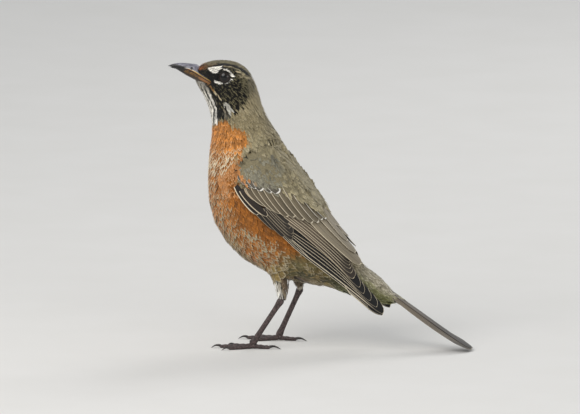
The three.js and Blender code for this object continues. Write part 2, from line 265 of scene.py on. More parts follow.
class Finish:
    """One material. Its fixed values are set on the shader's own sockets."""

    def __init__(self, name, **fixed):
        self.material = bpy.data.materials.new(name)
        self.material.use_nodes = True
        self.tree = self.material.node_tree
        self.shader = self.tree.nodes["Principled BSDF"]
        for key, value in fixed.items():
            self.shader.inputs[key.replace("_", " ")].default_value = value

    def feed(self, socket, value):
        value = value.socket if isinstance(value, Value) else value
        if isinstance(value, bpy.types.NodeSocket):
            self.tree.links.new(value, socket)
        else:
            socket.default_value = value

    def node(self, kind, settings=None, sockets=None):
        made = self.tree.nodes.new("ShaderNode" + kind)
        for key, value in (settings or {}).items():
            setattr(made, key, value)
        for key, value in (sockets or {}).items():
            self.feed(made.inputs[key], value)
        return made

    def maths(self, operation, *values, clamp=False):
        made = self.node("Math", {"operation": operation, "use_clamp": clamp}, dict(enumerate(values)))
        return Value(self, made.outputs[0])

    def smooth(self, value, low, high, to_low=0.0, to_high=1.0):
        """The value's place between low and high, eased."""
        sockets = {0: value, 1: low, 2: high, 3: to_low, 4: to_high}
        made = self.node("MapRange", {"interpolation_type": "SMOOTHSTEP"}, sockets)
        return Value(self, made.outputs[0])

    def coloured(self, first, second, part, blend="MIX"):
        settings = {"data_type": "RGBA", "blend_type": blend}
        return self.node("Mix", settings, {0: part, 6: first, 7: second}).outputs[2]

    def attribute(self, name):
        return self.node("Attribute", {"attribute_name": name})

    def number(self, name):
        return Value(self, self.attribute(name).outputs["Fac"])

    def map_place(self, name):
        """The two numbers of a UV map."""
        split = self.node("SeparateXYZ", None, {0: self.node("UVMap", {"uv_map": name}).outputs[0]})
        return Value(self, split.outputs[0]), Value(self, split.outputs[1])

    def joined(self, x, y, z):
        return self.node("CombineXYZ", None, {0: x, 1: y, 2: z}).outputs[0]

    def place(self):
        """Object coordinates in millimetres."""
        coordinates = self.node("TexCoord").outputs["Object"]
        return self.node("VectorMath", {"operation": "SCALE"}, {0: coordinates, "Scale": 1 / MM}).outputs[0]

    def noise(self, vector, scale, detail, roughness=0.5):
        sockets = {"Vector": vector, "Scale": scale, "Detail": detail, "Roughness": roughness}
        return Value(self, self.node("TexNoise", None, sockets).outputs[0])

    def bump(self, height, strength, distance):
        sockets = {"Height": height, "Strength": strength, "Distance": distance * MM}
        self.feed(self.shader.inputs["Normal"], self.node("Bump", None, sockets).outputs[0])

    def paint(self, colour):
        self.feed(self.shader.inputs["Base Color"], colour)


def rgba(*colour):
    """One screen colour as a shader takes it."""
    return (*linear(colour), 1.0)


# %% [markdown]
# ## The wing's own map
#
# A folded wing is a bent sheet against the flank. Each of its feathers is placed on a map of that
# sheet: `u` runs from the wrist to the wing's tip in millimetres, and the angle runs round the body,
# from 0 on the widest line of the wing to 90 degrees on the middle of the back. The sheet is the one
# that the solids of the wing were made on.

# %% The map of a folded wing
WRIST = np.array([-50.3, 116.6])
WING_TIP = np.array([40.4, 23.2])
wing_middle = through([(-10, 4), (30, 4), (65, 4), (84, 2.6), (100, 1.6), (131, 0)])
wing_half = through([(0, 21.6), (20, 25.2), (40, 26.2), (60, 25.2), (84, 20.8), (100, 17.2), (131, 13)])
wing_rise = through([(0, 25.8), (20, 24.2), (40, 21.4), (65, 18.2), (84, 15.6), (100, 14.1), (131, 13)])
WING_UNDER = 34  # how gently the wing curls in below its widest line
wing_run = unit(WING_TIP - WRIST)


def on_sheet(u, angle):
    bend = np.radians(angle)
    v = wing_middle(u) - np.where(angle > 0, wing_rise(u), WING_UNDER) * np.sin(bend)
    x = WRIST[0] + u * wing_run[0] + v * wing_run[1]
    z = WRIST[1] + u * wing_run[1] - v * wing_run[0]
    return np.stack([x, -wing_half(u) * np.cos(bend), z], axis=-1)


def on_wing(u, angle, raised, side):
    """Places on the wing of a side (-1 or 1), raised off the sheet."""
    along = on_sheet(u + 0.5, angle) - on_sheet(u - 0.5, angle)
    around = on_sheet(u, angle + 0.5) - on_sheet(u, angle - 0.5)
    points = on_sheet(u, angle) + unit(np.cross(along, around)) * np.asarray(raised)[..., None]
    return points * [1, -side, 1]


def wing_degree(u, angle):
    """How many millimetres one degree of the map is."""
    bend = np.radians(angle)
    rise = np.where(angle > 0, wing_rise(u), WING_UNDER)
    return np.radians(1) * np.hypot(rise * np.cos(bend), wing_half(u) * np.sin(bend))


print("wing chord", round(float(np.linalg.norm(WING_TIP - WRIST)), 1), "mm")

# %% [markdown]
# ## The forms under the coat
#
# Under the feathers is one skin, without the joints of the solids. The solids are copied, swollen a
# little so that the thin air between them closes, and remeshed together as one closed surface, which
# is then smoothed. Three such forms are made. The bare one is flesh, bill and eyes, and its skin runs
# on under them without a hole. The robed one adds tail and shanks, for feathers that lie over those.
# The dressed one adds the folded wings, for feathers that lie over the wings. Sculpting a skin by
# hand would look the same, but it would not follow the solids.

# %% Closed forms from many solids
FLESH = ["head", "neck", "trunk", "tail_coverts", "thigh_left", "thigh_right"]
HARD = ["bill_upper", "bill_lower", "eye_left", "eye_right"]
ROBE = ["tail", "shank_left", "shank_right"]
WING_TRACTS = [
    "primaries", "secondaries", "primary_coverts", "tertials", "greater_coverts", "lesser_coverts",
    "scapulars",
]
SWELL = 0.22  # closes the air between two solids
VOXEL = 0.9
SMOOTHING = 9


def outer_shell(mesh):
    """Leaves only the outside of a mesh, without the hollows that are closed up in it."""
    form = bmesh.new()
    form.from_mesh(mesh)
    reached = [min(form.verts, key=lambda vertex: vertex.co.x)]
    reached[0].tag = True
    for vertex in reached:
        for edge in vertex.link_edges:
            other = edge.other_vert(vertex)
            if not other.tag:
                other.tag = True
                reached.append(other)
    bmesh.ops.delete(form, geom=[vertex for vertex in form.verts if not vertex.tag], context="VERTS")
    form.to_mesh(mesh)
    form.free()


def closed_form(nodes):
    """The solids as one closed mesh in millimetres, with its points, triangles and normals."""
    joined = bmesh.new()
    for node in nodes:
        part = bmesh.new()
        part.from_mesh(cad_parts[node].data)
        bmesh.ops.remove_doubles(part, verts=part.verts, dist=1e-6)
        part.normal_update()
        for vertex in part.verts:
            vertex.co = vertex.co / MM + vertex.normal * SWELL
        copied = bpy.data.meshes.new(node)
        part.to_mesh(copied)
        part.free()
        joined.from_mesh(copied)
        bpy.data.meshes.remove(copied)
    mesh = bpy.data.meshes.new("form")
    joined.to_mesh(mesh)
    joined.free()
    form = object_of("form", mesh)
    remesh = form.modifiers.new("one surface", "REMESH")
    remesh.mode, remesh.voxel_size = "VOXEL", VOXEL
    relax = form.modifiers.new("relaxed", "SMOOTH")
    relax.factor, relax.iterations = 0.5, SMOOTHING
    whole = bpy.data.meshes.new_from_object(form.evaluated_get(bpy.context.evaluated_depsgraph_get()))
    bpy.data.objects.remove(form)
    bpy.data.meshes.remove(mesh)
    outer_shell(whole)
    whole.calc_loop_triangles()
    points, normals = (np.empty(len(whole.vertices) * 3) for _ in range(2))
    whole.vertices.foreach_get("co", points)
    whole.vertex_normals.foreach_get("vector", normals)
    triangles = np.empty(len(whole.loop_triangles) * 3, np.int32)
    whole.loop_triangles.foreach_get("vertices", triangles)
    points, normals = points.reshape(-1, 3), normals.reshape(-1, 3)
    return whole, points + normals * fullness(points, normals)[:, None], triangles.reshape(-1, 3), normals


CROWN_FULL, FRONT_SLEEK = 0.6, 0.85


def fullness(points, normals):
    """How far the coat stands out from the smoothed solids: fuller on the crown, sleek down the front."""
    x, z = points[:, 0], points[:, 2]
    crown = ramp(z, 167, 175) * ramp(normals[:, 2], 0.0, 0.6) * ramp(x, -79, -74)
    front = ramp(-normals[:, 0], 0.2, 0.8) * ramp(z, 166, 156) * ramp(z, 58, 75)
    return CROWN_FULL * crown - FRONT_SLEEK * front


def tree_of(points, triangles):
    return BVHTree.FromPolygons(points.tolist(), triangles.tolist())


skin_mesh, body_points, body_triangles, body_normals = closed_form(FLESH + HARD)
body_tree = tree_of(body_points, body_triangles)
robed_mesh, robed_points, robed_triangles, _ = closed_form(FLESH + HARD + ROBE)
robed_tree = tree_of(robed_points, robed_triangles)
wing_nodes = [f"wing_{side}_{tract}" for side in SIDES for tract in WING_TRACTS]
dressed_mesh, dressed_points, dressed_triangles, dressed_normals = closed_form(FLESH + HARD + wing_nodes)
dressed_tree = tree_of(dressed_points, dressed_triangles)
for spare in (robed_mesh, dressed_mesh):
    bpy.data.meshes.remove(spare)
counts = [len(triangles) for triangles in (body_triangles, robed_triangles, dressed_triangles)]
print("triangles of the bare, the robed and the dressed form:", counts)

# %% [markdown]
# ## The lie and the length of the coat
#
# Feathers point away from the bill: back over the crown, down the nape and the throat, and along the
# belly to the tail. A few dozen places in side view, each with a direction, a feather length and a
# coat depth, are enough. Everywhere else takes a mean of them that favours the near ones, and the
# direction is then laid flat on the surface.

# %% Where the feathers point
# Each row: place (x, z), direction (x, z), feather length, depth of the coat.
LIE = [
    ((-79, 175.5), (1.0, 0.10), 1.4, 0.3),  # root of the bill, above
    ((-73, 177), (1.0, 0.15), 1.8, 0.5),  # forehead
    ((-63, 179), (1.0, 0.0), 2.6, 0.8),  # crown
    ((-52, 177.5), (0.85, -0.5), 3.0, 0.9),  # hind crown
    ((-43, 168), (0.35, -1.0), 4.0, 1.1),  # nape
    ((-39, 152), (0.30, -1.0), 5.5, 1.4),  # hind neck
    ((-35, 138), (0.50, -0.9), 7.0, 1.7),  # foot of the neck
    ((-22, 125), (0.62, -0.78), 8.5, 1.8),  # mantle
    ((-5, 100), (0.68, -0.74), 9.5, 1.8),  # back
    ((15, 75), (0.70, -0.72), 11.0, 1.8),  # rump
    ((30, 57), (0.76, -0.65), 13.0, 1.6),  # upper tail coverts
    ((40, 44), (0.80, -0.60), 15.0, 1.0),
    ((-78, 172.5), (0.85, -0.52), 1.4, 0.3),  # lores
    ((-69, 170.5), (0.90, -0.42), 1.6, 0.4),
    ((-67, 167), (0.80, -0.6), 1.8, 0.5),  # under the eye
    ((-61, 176.5), (1.0, -0.05), 1.5, 0.5),  # brow
    ((-52, 171), (1.0, -0.25), 2.2, 0.8),  # behind the eye
    ((-58, 160), (0.78, -0.65), 2.7, 0.9),  # ear coverts
    ((-50, 152), (0.60, -0.85), 4.0, 1.1),
    ((-77, 166), (0.60, -0.80), 1.8, 0.4),  # chin
    ((-69, 160), (0.50, -0.87), 2.2, 0.6),  # jaw
    ((-73, 152), (0.20, -1.0), 3.2, 0.9),  # throat
    ((-66, 146), (0.25, -0.97), 4.2, 1.1),
    ((-70, 130), (-0.02, -1.0), 6.5, 1.6),  # upper breast
    ((-72, 105), (0.05, -1.0), 8.5, 2.0),  # breast
    ((-62, 78), (0.45, -0.9), 9.5, 2.2),  # lower breast
    ((-45, 57), (0.80, -0.6), 10.5, 2.2),  # belly
    ((-20, 46), (0.95, -0.3), 10.5, 2.2),
    ((5, 40), (0.97, -0.25), 12.0, 2.0),  # vent
    ((30, 33), (0.90, -0.4), 14.0, 1.2),  # under tail coverts
    ((-58, 122), (0.12, -1.0), 7.0, 1.6),  # side of the breast
    ((-51, 110), (0.30, -0.95), 6.5, 1.2),  # bend of the wing
    ((-44, 101), (0.48, -0.88), 7.0, 0.9),
    ((-38, 108), (0.62, -0.78), 5.2, 0.8),  # lesser coverts
    ((-24, 112), (0.66, -0.75), 7.5, 1.2),  # scapulars
    ((-8, 93), (0.68, -0.73), 9.0, 1.2),
    ((-32, 85), (0.52, -0.85), 9.0, 2.0),  # flank
    ((-8, 60), (0.75, -0.66), 10.5, 2.0),
]
LIE_SOFT, LIE_POWER = 1.5, 3.5  # how quickly a place of the list loses its say with distance
lie_places = np.array([row[0] for row in LIE], float)
lie_values = np.array([(*row[1], *row[2:]) for row in LIE], float)


def lie_at(points, normals):
    """Direction on the surface, feather length and coat depth at each point."""
    straight = unturned(points)
    gaps = np.linalg.norm(straight[:, None, [0, 2]] - lie_places[None], axis=2)
    weights = 1 / (gaps + LIE_SOFT) ** LIE_POWER
    values = weights @ lie_values / weights.sum(axis=1, keepdims=True)
    turn = turn_at(points)
    ahead = np.stack([values[:, 0] * np.cos(turn), values[:, 0] * np.sin(turn), values[:, 1]], axis=1)
    flat = ahead - normals * (ahead * normals).sum(axis=1, keepdims=True)
    return unit(flat), values[:, 2], values[:, 3]


print("lie anchors:", len(LIE))

# %% [markdown]
# ## The markings
#
# Skin and coat carry the same markings, so one function gives them for any place on the bird. It
# starts from the grey-brown of the back and lays the other colours over it, each with an edge that
# wanders a little: the rust-red breast, the pale belly, the black head with its white marks round the
# eye, and the striped throat. A second colour is the fringe of each feather, which is what mottles
# the breast. Random numbers, three for each feather, choose the pale streaks on the head.
#
# The marks of the face are strokes and patches, in millimetres back and up from the middle of the
# eye. The cheek leans outwards below, so a place on it counts as higher the further out it is.

# %% Colours of the plumage
BACK, BACK_FRINGE, NAPE = (166, 154, 121), (192, 180, 150), (148, 135, 102)
RUMP, RUMP_FRINGE = (152, 144, 122), (190, 182, 162)
RUST, DEEP_RUST, RUST_FRINGE, LOW_FRINGE = (204, 134, 64), (148, 90, 32), (226, 208, 176), (168, 156, 128)
# UNDER_WING is painted shadow of the folded wing on the flank, mixed with the dark bases of the feathers
# there.
FLANK_SHADE, UNDER_WING = (112, 102, 68), (66, 64, 42)
BELLY, BELLY_FRINGE = (132, 112, 68), (168, 156, 130)
# VENT and VENT_FRINGE hold painted shade: a dark olive with a painted green reflection in it.
VENT, VENT_FRINGE = (108, 108, 66), (150, 150, 112)
BLACK, BUFF_STREAK = (15, 13, 9), (124, 116, 86)
CROWN, CROWN_STREAK, OLIVE = (94, 84, 58), (172, 160, 122), (104, 96, 72)
WHITE, CREAM, RUFOUS = (242, 237, 226), (222, 204, 166), (158, 92, 42)
REAR_STREAK, FOREHEAD_BROWN = (136, 126, 100), (120, 98, 70)
CHIN, BIB_STREAK = (176, 170, 158), (120, 112, 94)
THIGH, THIGH_TUFT, THIGH_SHADE = (152, 140, 118), (228, 224, 214), (104, 88, 70)
THROAT_STRIPES = 2.3  # millimetres from one dark stripe of the throat to the next

# Strokes of the face: colour, share of the feathers that take it, half width, points.
STROKES = [
    (BLACK, 1.0, 0.5, [
        (-4.2, 7.5), (-0.4, 7.9), (3.2, 7.3), (6.4, 6.4), (9.2, 5.0), (11.8, 3.4), (13.8, 1.8),
    ]),
    ((178, 162, 132), 0.8, 0.3, [(-1.0, 6.5), (1.6, 6.6), (4.2, 5.9)]),
    ((158, 148, 116), 0.7, 0.34, [(4.2, 5.6), (6.4, 5.1), (8.4, 4.0), (10.8, 2.4), (12.2, 1.2)]),
    ((206, 188, 150), 0.8, 0.3, [(6.4, 3.2), (7.8, 3.2), (9.4, 2.2), (11.2, 1.2)]),
    ((190, 176, 142), 0.6, 0.26, [(7.4, 1.6), (9.0, 0.6)]),
    ((190, 176, 142), 0.7, 0.3, [(9.0, -0.2), (11.2, -0.1), (13.2, -0.6), (15.2, -0.4)]),
    (CREAM, 0.95, 0.24, [(-7.8, -8.7), (-6.2, -10.9), (-4.8, -12.5), (-2.6, -14.7)]),
    ((150, 112, 62), 0.8, 0.3, [(-10.5, -4.3), (-8.8, -7.0), (-7.4, -9.0)]),
    ((196, 192, 180), 0.78, 1.6, [(0.4, -18.2), (2.2, -20.2), (3.8, -22.6)]),
    ((92, 88, 76), 0.6, 1.8, [(-0.6, -23.0), (3.6, -25.6), (6.6, -27.4)]),
    ((140, 130, 112), 0.5, 0.4, [(-1.1, -20.3), (1.7, -27.3)]),
]
UPPER_LID_MARK = [(-0.9, 4.7), (0.8, 4.35), (2.1, 3.6), (3.2, 2.45), (4.1, 1.1), (4.9, 0.2)]
LOWER_LID_MARK = [
    (-6.2, -3.3), (-4.4, -3.9), (-2.8, -4.3), (-0.8, -4.2), (1.2, -3.7), (2.8, -2.95), (4.2, -1.9),
    (4.9, -1.4),
]
LORAL_SPOT = [
    (-10.8, 5.0), (-9.0, 6.0), (-6.8, 6.1), (-4.8, 6.5), (-3.4, 6.8), (-1.9, 6.5), (-2.0, 5.2), (-3.4, 4.4),
    (-4.4, 3.2), (-5.1, 1.9), (-6.8, 2.0), (-8.3, 2.4), (-9.0, 3.4), (-10.4, 4.2),
]
FOREHEAD = [
    (-22, 5.4), (-18, 7.3), (-14, 8.7), (-9, 9.0), (-5, 8.4), (-5.2, 7.2), (-9, 6.3), (-11, 5.2),
    (-12.5, 4.2), (-15, 4.2), (-18.6, 5.0),
]
crown_edge = through([
    (-16, 7.8), (-10, 7.6), (-3.4, 8.1), (-0.4, 8.4), (3.2, 7.7), (6.4, 6.9), (9.2, 5.8), (12.8, 3.6),
    (15.2, 1.2), (17, -3.5),
])
bib_edge = through([
    (-29.5, -3.3), (-25.3, -4.6), (-21.2, -5.0), (-17, -5.6), (-12.9, -7.4), (-8.3, -10.2), (-4.6, -13),
])

NECK_FROM, HEAD_FROM = 131, 150.5  # heights where the feathers of neck and head start

# Borders in side view: heights with how far back the border lies, or places with its height.
head_border = through([
    (138, -70), (141, -62), (145, -57), (149, -54), (154, -49), (159, -44.5), (165, -43), (172, -43),
    (178, -47),
])
rust_border = through([
    (97, -44), (110, -50), (118, -50.5), (122, -48.5), (126, -45.5), (130, -43), (134, -43.5), (138, -48),
    (143, -58),
])
rust_top = through([
    (-74, 137), (-70, 138), (-66, 140.5), (-61, 143.3), (-57, 142.8), (-53, 139.5), (-47, 138.5),
])
front_edge = through([
    (40, -30), (50, -42), (60, -54), (72, -64), (85, -70), (105, -73), (130, -73), (145, -71),
])
rear_edge = through([
    (40, -22), (50, -10), (60, -12), (72, -24), (85, -35), (97, -44), (110, -50), (130, -43),
])

WING_SHADOW_LINE = [(-17, 51.5), (-6, 48.8), (4, 45.5), (16, 42.0)]  # where the folded wing's shadow is painted on the flank, with dark feather bases


def near_line(a, b, points, radius, soft):
    """1 within a radius of a bent line, fading over a soft edge."""
    gap = np.full(len(a), 1e9)
    for (a0, b0), (a1, b1) in zip(points, points[1:]):
        run = np.array([a1 - a0, b1 - b0])
        part = np.clip(((a - a0) * run[0] + (b - b0) * run[1]) / (run @ run), 0, 1)
        gap = np.minimum(gap, np.hypot(a - a0 - part * run[0], b - b0 - part * run[1]))
    return ramp(gap, radius + soft, radius)


def inside(outline, a, b):
    """Whether places are inside an outline of corners."""
    within = np.zeros(len(a), bool)
    for (a0, b0), (a1, b1) in zip(outline, outline[1:] + outline[:1]):
        if b0 != b1:
            within ^= ((b0 > b) != (b1 > b)) & (a < a0 + (b - b0) * (a1 - a0) / (b1 - b0))
    return within


def lay(colours, colour, mask):
    """The colours with another laid over them where the mask is 1."""
    return colours + (np.asarray(colour, float) - colours) * np.asarray(mask, float)[:, None]


def same_colour(colour, points):
    """One colour for every point."""
    return np.tile(np.asarray(colour, float), (len(points), 1))


def face_colours(points, straight, dice):
    """Colours of the head and the bib, with the colour and the strength of a streak along each shaft."""
    side = np.abs(straight[:, 1])
    lean = side - face_centre[1]
    a = straight[:, 0] - face_centre[0] - 0.052 * lean
    b = straight[:, 2] - face_centre[2] - 0.174 * lean
    wander = patches(points, 3.0, 12)
    shade, streak = same_colour(BLACK, points), same_colour(BUFF_STREAK, points)
    rear = ramp(a + 0.5 * wander, 12.8, 15.2)
    back_of_eye = ramp(a, 9.5, 11.5) * ramp(b, -6.5, -4.5) * ramp(b, 1.5, 0.5)
    share = 0.1 + 0.3 * ramp(a, -6, 0) + 0.2 * ramp(a, 6, 11)
    shade = lay(shade, OLIVE, np.maximum(rear * (dice[:, 2] < 0.85), back_of_eye * (dice[:, 2] < 0.7)))
    streak = lay(streak, REAR_STREAK, rear)
    crown = b + 0.3 * wander > crown_edge(a)
    shade, streak = lay(shade, CROWN, crown), lay(streak, CROWN_STREAK, crown)
    strength = (dice[:, 1] < np.where(crown, 0.8, share)) * (0.55 + 0.45 * dice[:, 2])
    forehead = inside(FOREHEAD, a, b) & (dice[:, 2] < 0.72)
    front = ramp(a, -16, -10)[:, None]
    shade = lay(shade, mix(np.array(RUFOUS, float), FOREHEAD_BROWN, front), forehead)
    for colour, share, half, points_of in STROKES:
        mark = near_line(a, b, points_of, half, 0.4) * (dice[:, 0] < share)
        shade, strength = lay(shade, colour, mark), strength * (1 - mark)

    bib = ramp(bib_edge(b) - a, -0.4, 0.4) * (b < -2)
    low = ramp(b, -18, -22)
    stripes = np.cos(2 * np.pi * (side + 0.8 * patches(points, 7, 8)) / THROAT_STRIPES)
    dark = ramp(stripes, 0.15, 0.5) * (1 - 0.85 * low * ramp(side, 6.2, 5.4))
    dark *= (1 - 0.5 * ramp(side, 3.4, 2.4)) * (1 - 0.7 * ramp(b, -10, -6))
    pale = lay(same_colour(WHITE, points), CHIN, ramp(b, -12, -7))
    shade, streak = lay(shade, lay(pale, BLACK, dark), bib), lay(streak, BIB_STREAK, bib)
    strength = mix(strength, 0.35 * (dice[:, 1] < 0.5), bib)
    cheek = side > 3
    upper = near_line(a, b, UPPER_LID_MARK, 0.42, 0.25)
    lower = near_line(a, b, LOWER_LID_MARK, 0.38 + 0.3 * ramp(a, 0, -3), 0.25)
    for mark in (inside(LORAL_SPOT, a, b), upper, lower):
        shade, strength = lay(shade, WHITE, cheek * mark), strength * (1 - cheek * mark)
    return shade, streak, strength


def breast_markings(coat, x, z, across, dice, wander, fine):
    """The coat with the rust red of the breast, which deepens downwards partly with painted shade, its
    fringes and the belly.
    """
    tint, fringe, strength = coat
    mingled = dice[:, 2] - 0.5
    rust = ramp(rust_border(z) - x + wander + 3.0 * mingled, -1.0, 1.0)
    rust *= ramp(rust_top(x) - z + 0.8 * wander + 3.0 * mingled, -0.8, 0.8)
    under = ramp(x * 0.72 + z * 0.69, 45, 41) * ramp(x, 30, 22)
    rust = np.where(z < 97, under, rust)
    # The rust deepens downwards and towards the wing, and its fringes dull downwards: partly a deeper red of
    # the plumage, partly painted shade of the light from above.
    deep = np.clip(ramp(z, 128, 108) * (0.55 + 0.45 * ramp(across, 0.45, 0.95)) + 0.2 * wander, 0, 1)
    rusty = lay(same_colour(RUST, x), DEEP_RUST, deep)
    # Painted shade: low on the rear flank, under the folded wing, the rust turns a dark olive brown.
    rusty = lay(rusty, FLANK_SHADE, ramp(z, 68, 58) * ramp(x, -30, -14))
    tint = lay(tint, rusty, rust)
    fringe = lay(fringe, mix(np.array(RUST_FRINGE, float), LOW_FRINGE, ramp(z, 115, 88)[:, None]), rust)

    inner = 0.5 + 0.35 * ramp(z, 88, 66)
    plain = ramp(across + 0.14 * wander, inner, inner + 0.24) * ramp(z, 114, 106)
    bare_top = ramp(z + 3 * wander, 124, 132)
    pale_band = ramp(z + 2 * wander, 108, 113) * ramp(z + 2 * wander, 126, 120)
    heavy = 0.6 + 0.3 * pale_band + 0.1 * np.maximum(ramp(z, 95, 72), ramp(across, 0.25, 0.05))
    mottled = heavy * (1 - 0.85 * plain) * (1 - 0.45 * bare_top)
    mottled *= (0.7 + 0.3 * ramp(fine + 0.5 * wander, -0.7, 0.5)) * (0.6 + 0.75 * dice[:, 0])
    strength = mix(strength, mottled, rust)

    belly = rust * ramp(across + 0.12 * wander, 0.42, 0.1) * ramp(z + 3 * wander, 84, 60) * 0.8
    belly = np.maximum(belly, rust * ramp(z + 2.5 * wander, 59, 51))
    tint, fringe = lay(tint, BELLY, belly), lay(fringe, BELLY_FRINGE, belly)
    return (tint, fringe, mix(strength, 0.66, belly)), rust


def thigh_markings(coat, straight, wander):
    """The coat with the grey thighs, which end in a pale tuft in front."""
    tint, fringe, strength = coat
    x, side, z = straight[:, 0], np.abs(straight[:, 1]), straight[:, 2]
    from_front = x - np.where(straight[:, 1] > 0, 7.0, 0.0) + 27 - (50 - z) * 0.33
    thigh = ramp(z + wander, 47, 44) * ramp(x, -6, -10) * ramp(side, 7.5, 9.5)
    # Behind its front the thigh is a darker brown, partly its own colour and partly painted shade.
    shade = lay(same_colour(THIGH, x), THIGH_SHADE, ramp(from_front, 1.0, 4.0))
    # Painted shade on the inner side of the thigh.
    shade = lay(shade, THIGH_SHADE, ramp(side, 14.5, 12.5) * 0.7)
    tuft = ramp(from_front, 2.0, -0.4) * ramp(z, 47, 43) * ramp(side, 12.0, 14.0)
    shade = lay(shade, THIGH_TUFT, tuft)
    return lay(tint, shade, thigh), lay(fringe, THIGH_TUFT, thigh), mix(strength, 0.25, thigh)


def markings(points, dice):
    """Tint, fringe colour and fringe strength, for points with three random numbers each."""
    straight = unturned(points)
    x, side, z = straight[:, 0], np.abs(straight[:, 1]), straight[:, 2]
    wander, fine = patches(points, 5, 3), patches(points, 2.2, 4)
    mingled = dice[:, 2] - 0.5
    across = np.clip((x - front_edge(z)) / (rear_edge(z) - front_edge(z)), 0, 1)
    rump = ramp(x * 0.72 - z * 0.69, -28, -12)
    tint = lay(lay(same_colour(BACK, points), RUMP, rump), NAPE, ramp(z, 126, 142))
    fringe = lay(same_colour(BACK_FRINGE, points), RUMP_FRINGE, rump)
    strength = mix(0.28 + 0.3 * dice[:, 0], 0.55, rump)
    (tint, fringe, strength), rust = breast_markings(
        (tint, fringe, strength), x, z, across, dice, wander, fine)

    # Painted shade: the vent and its fringes take a dark olive, the shade under the body with a painted green
    # reflection.
    vent = ramp(x, 2, 12) * ramp(x * 0.55 + z * 0.83, 56, 50)
    tint, fringe = lay(tint, VENT, vent), lay(fringe, VENT_FRINGE, vent)
    strength = mix(strength, 0.4, vent)
    # Painted shadow of the folded wing along the flank, with dark feather bases: darker there, with weaker
    # fringes.
    shadow_and_dark_bases = near_line(x, z, WING_SHADOW_LINE, 1.2, 3.4) * ramp(side, 6, 12) * rust
    tint = lay(tint, UNDER_WING, 0.8 * shadow_and_dark_bases * ramp(fine, -0.9, 0.1))
    strength = strength * (1 - 0.5 * shadow_and_dark_bases)

    loose = 6.0 * mingled * ramp(z, 171, 166)
    head = ramp(head_border(z) - x + 0.8 * wander + loose, -1.2, 1.0)
    head *= ramp(z - rust_top(x) - 0.8 * wander + 3.0 * mingled, -0.7, 0.7)
    shade, streak, streaky = face_colours(points, straight, dice)
    tint, fringe = lay(tint, shade, head), lay(fringe, streak, head)
    above_neck = z > HEAD_FROM
    strength = mix(strength * np.where(above_neck, 0.6, 1.0), np.where(above_neck, streaky, 0.0), head)

    tint, fringe, strength = thigh_markings((tint, fringe, strength), straight, wander)
    uneven = (0.1 + 0.14 * np.maximum(rust, head))[:, None]
    return linear(tint * (1 + uneven * (dice[:, 0:1] - 0.5) * 1.4)), linear(fringe), strength


# %% [markdown]
# ## The finish of the coat
#
# A body feather has a soft vane: fine barbs that slant away from a pale shaft, a loose downy base and
# a fringe of another colour round the tip. The `vane` map gives the place across and along each
# feather, so the barbs are noise stretched along their slant, and the fringe is a mask near the tip
# that widens with its strength.

# %% Skin and contour feathers
def barbs(finish, across, along, dice, count):
    """Fine streaks that run from the shaft outwards and towards the tip."""
    spread = finish.maths("ABSOLUTE", across - 0.5)
    line = finish.joined(along * count - spread * (0.9 * count), dice * 37.0, spread * 1.5)
    return finish.noise(line, 1.0, 3.0, 0.6)


def shaded(finish, colour, shade):
    """A colour made darker below 1 and lighter above it."""
    grey = finish.node("CombineColor", None, {0: shade, 1: shade, 2: shade}).outputs[0]
    return finish.coloured(colour, grey, 1.0, "MULTIPLY")


def feather_values(finish):
    """The place on a feather's vane, its two colours, its random number and its fringe's strength."""
    across, along = finish.map_place("vane")
    tint, rim = finish.attribute("tint").outputs, finish.attribute("rim").outputs
    dice, strength = Value(finish, tint["Alpha"]), Value(finish, rim["Alpha"])
    return across, along, tint["Color"], rim["Color"], dice, strength


def plumage_finish(name, streaked):
    """Soft feathers, with a fringe of the second colour or, on the face, a streak of it."""
    made = Finish(name, Roughness=0.8, Sheen_Weight=0.2, Sheen_Roughness=0.5, Specular_IOR_Level=0.25)
    across, along, tint, rim, dice, strength = feather_values(made)
    fine, coarse = barbs(made, across, along, dice, 26.0), barbs(made, across, along, dice + 0.5, 9.0)
    spread = made.maths("ABSOLUTE", across - 0.5)
    if streaked:
        streak = made.smooth(spread + (coarse - 0.5) * 0.3, 0.42, 0.2)
        second = streak * made.smooth(along, 0.2, 0.5) * strength
    else:
        tip = along + spread * spread * strength * 2.8 + (fine - 0.5) * 0.4 + (coarse - 0.5) * 0.3
        second = made.maths("MULTIPLY", tip + strength * 0.46 - 1.12, 5.0, clamp=True)
    colour = made.coloured(tint, rim, second)
    shaft = made.smooth(spread, 0.0, 0.07, 1.0, 0.0)
    centre = made.smooth(spread + (fine - 0.5) * 0.3, 0.3, 0.06) * made.smooth(along, 1.0, 0.8)
    down = made.smooth(along, 0.0, 0.55, 0.66, 1.0)
    shade = made.smooth(fine * 0.5 + coarse * 0.5, 0.32, 0.68, 0.66, 1.36) * (1 - shaft * 0.2) * down
    if not streaked:
        shade = shade * (1 - centre * 0.2)
    made.paint(shaded(made, colour, shade))
    made.bump(fine + coarse + shaft * 0.5, 0.35, 0.14)
    return made.material


def skin_finish():
    made = Finish("skin under the coat", Roughness=0.7, Specular_IOR_Level=0.3)
    pits = made.noise(made.place(), 2.5, 4.0)
    made.paint(shaded(made, made.attribute("tint").outputs["Color"], made.smooth(pits, 0.3, 0.7, 0.4, 0.75)))
    made.bump(pits, 0.4, 0.2)
    return made.material


COAT, FACE = plumage_finish("contour feathers", False), plumage_finish("face feathers", True)
SKIN = skin_finish()

# %% [markdown]
# ## The eyes' frames, and the skin
#
# Each eye looks out from a shallow socket, so the skin is pressed in under the ball. Elsewhere it is
# the bare form let in by the depth of the coat. Under the bill it goes further in, but never by more
# than a share of the form's own thickness.

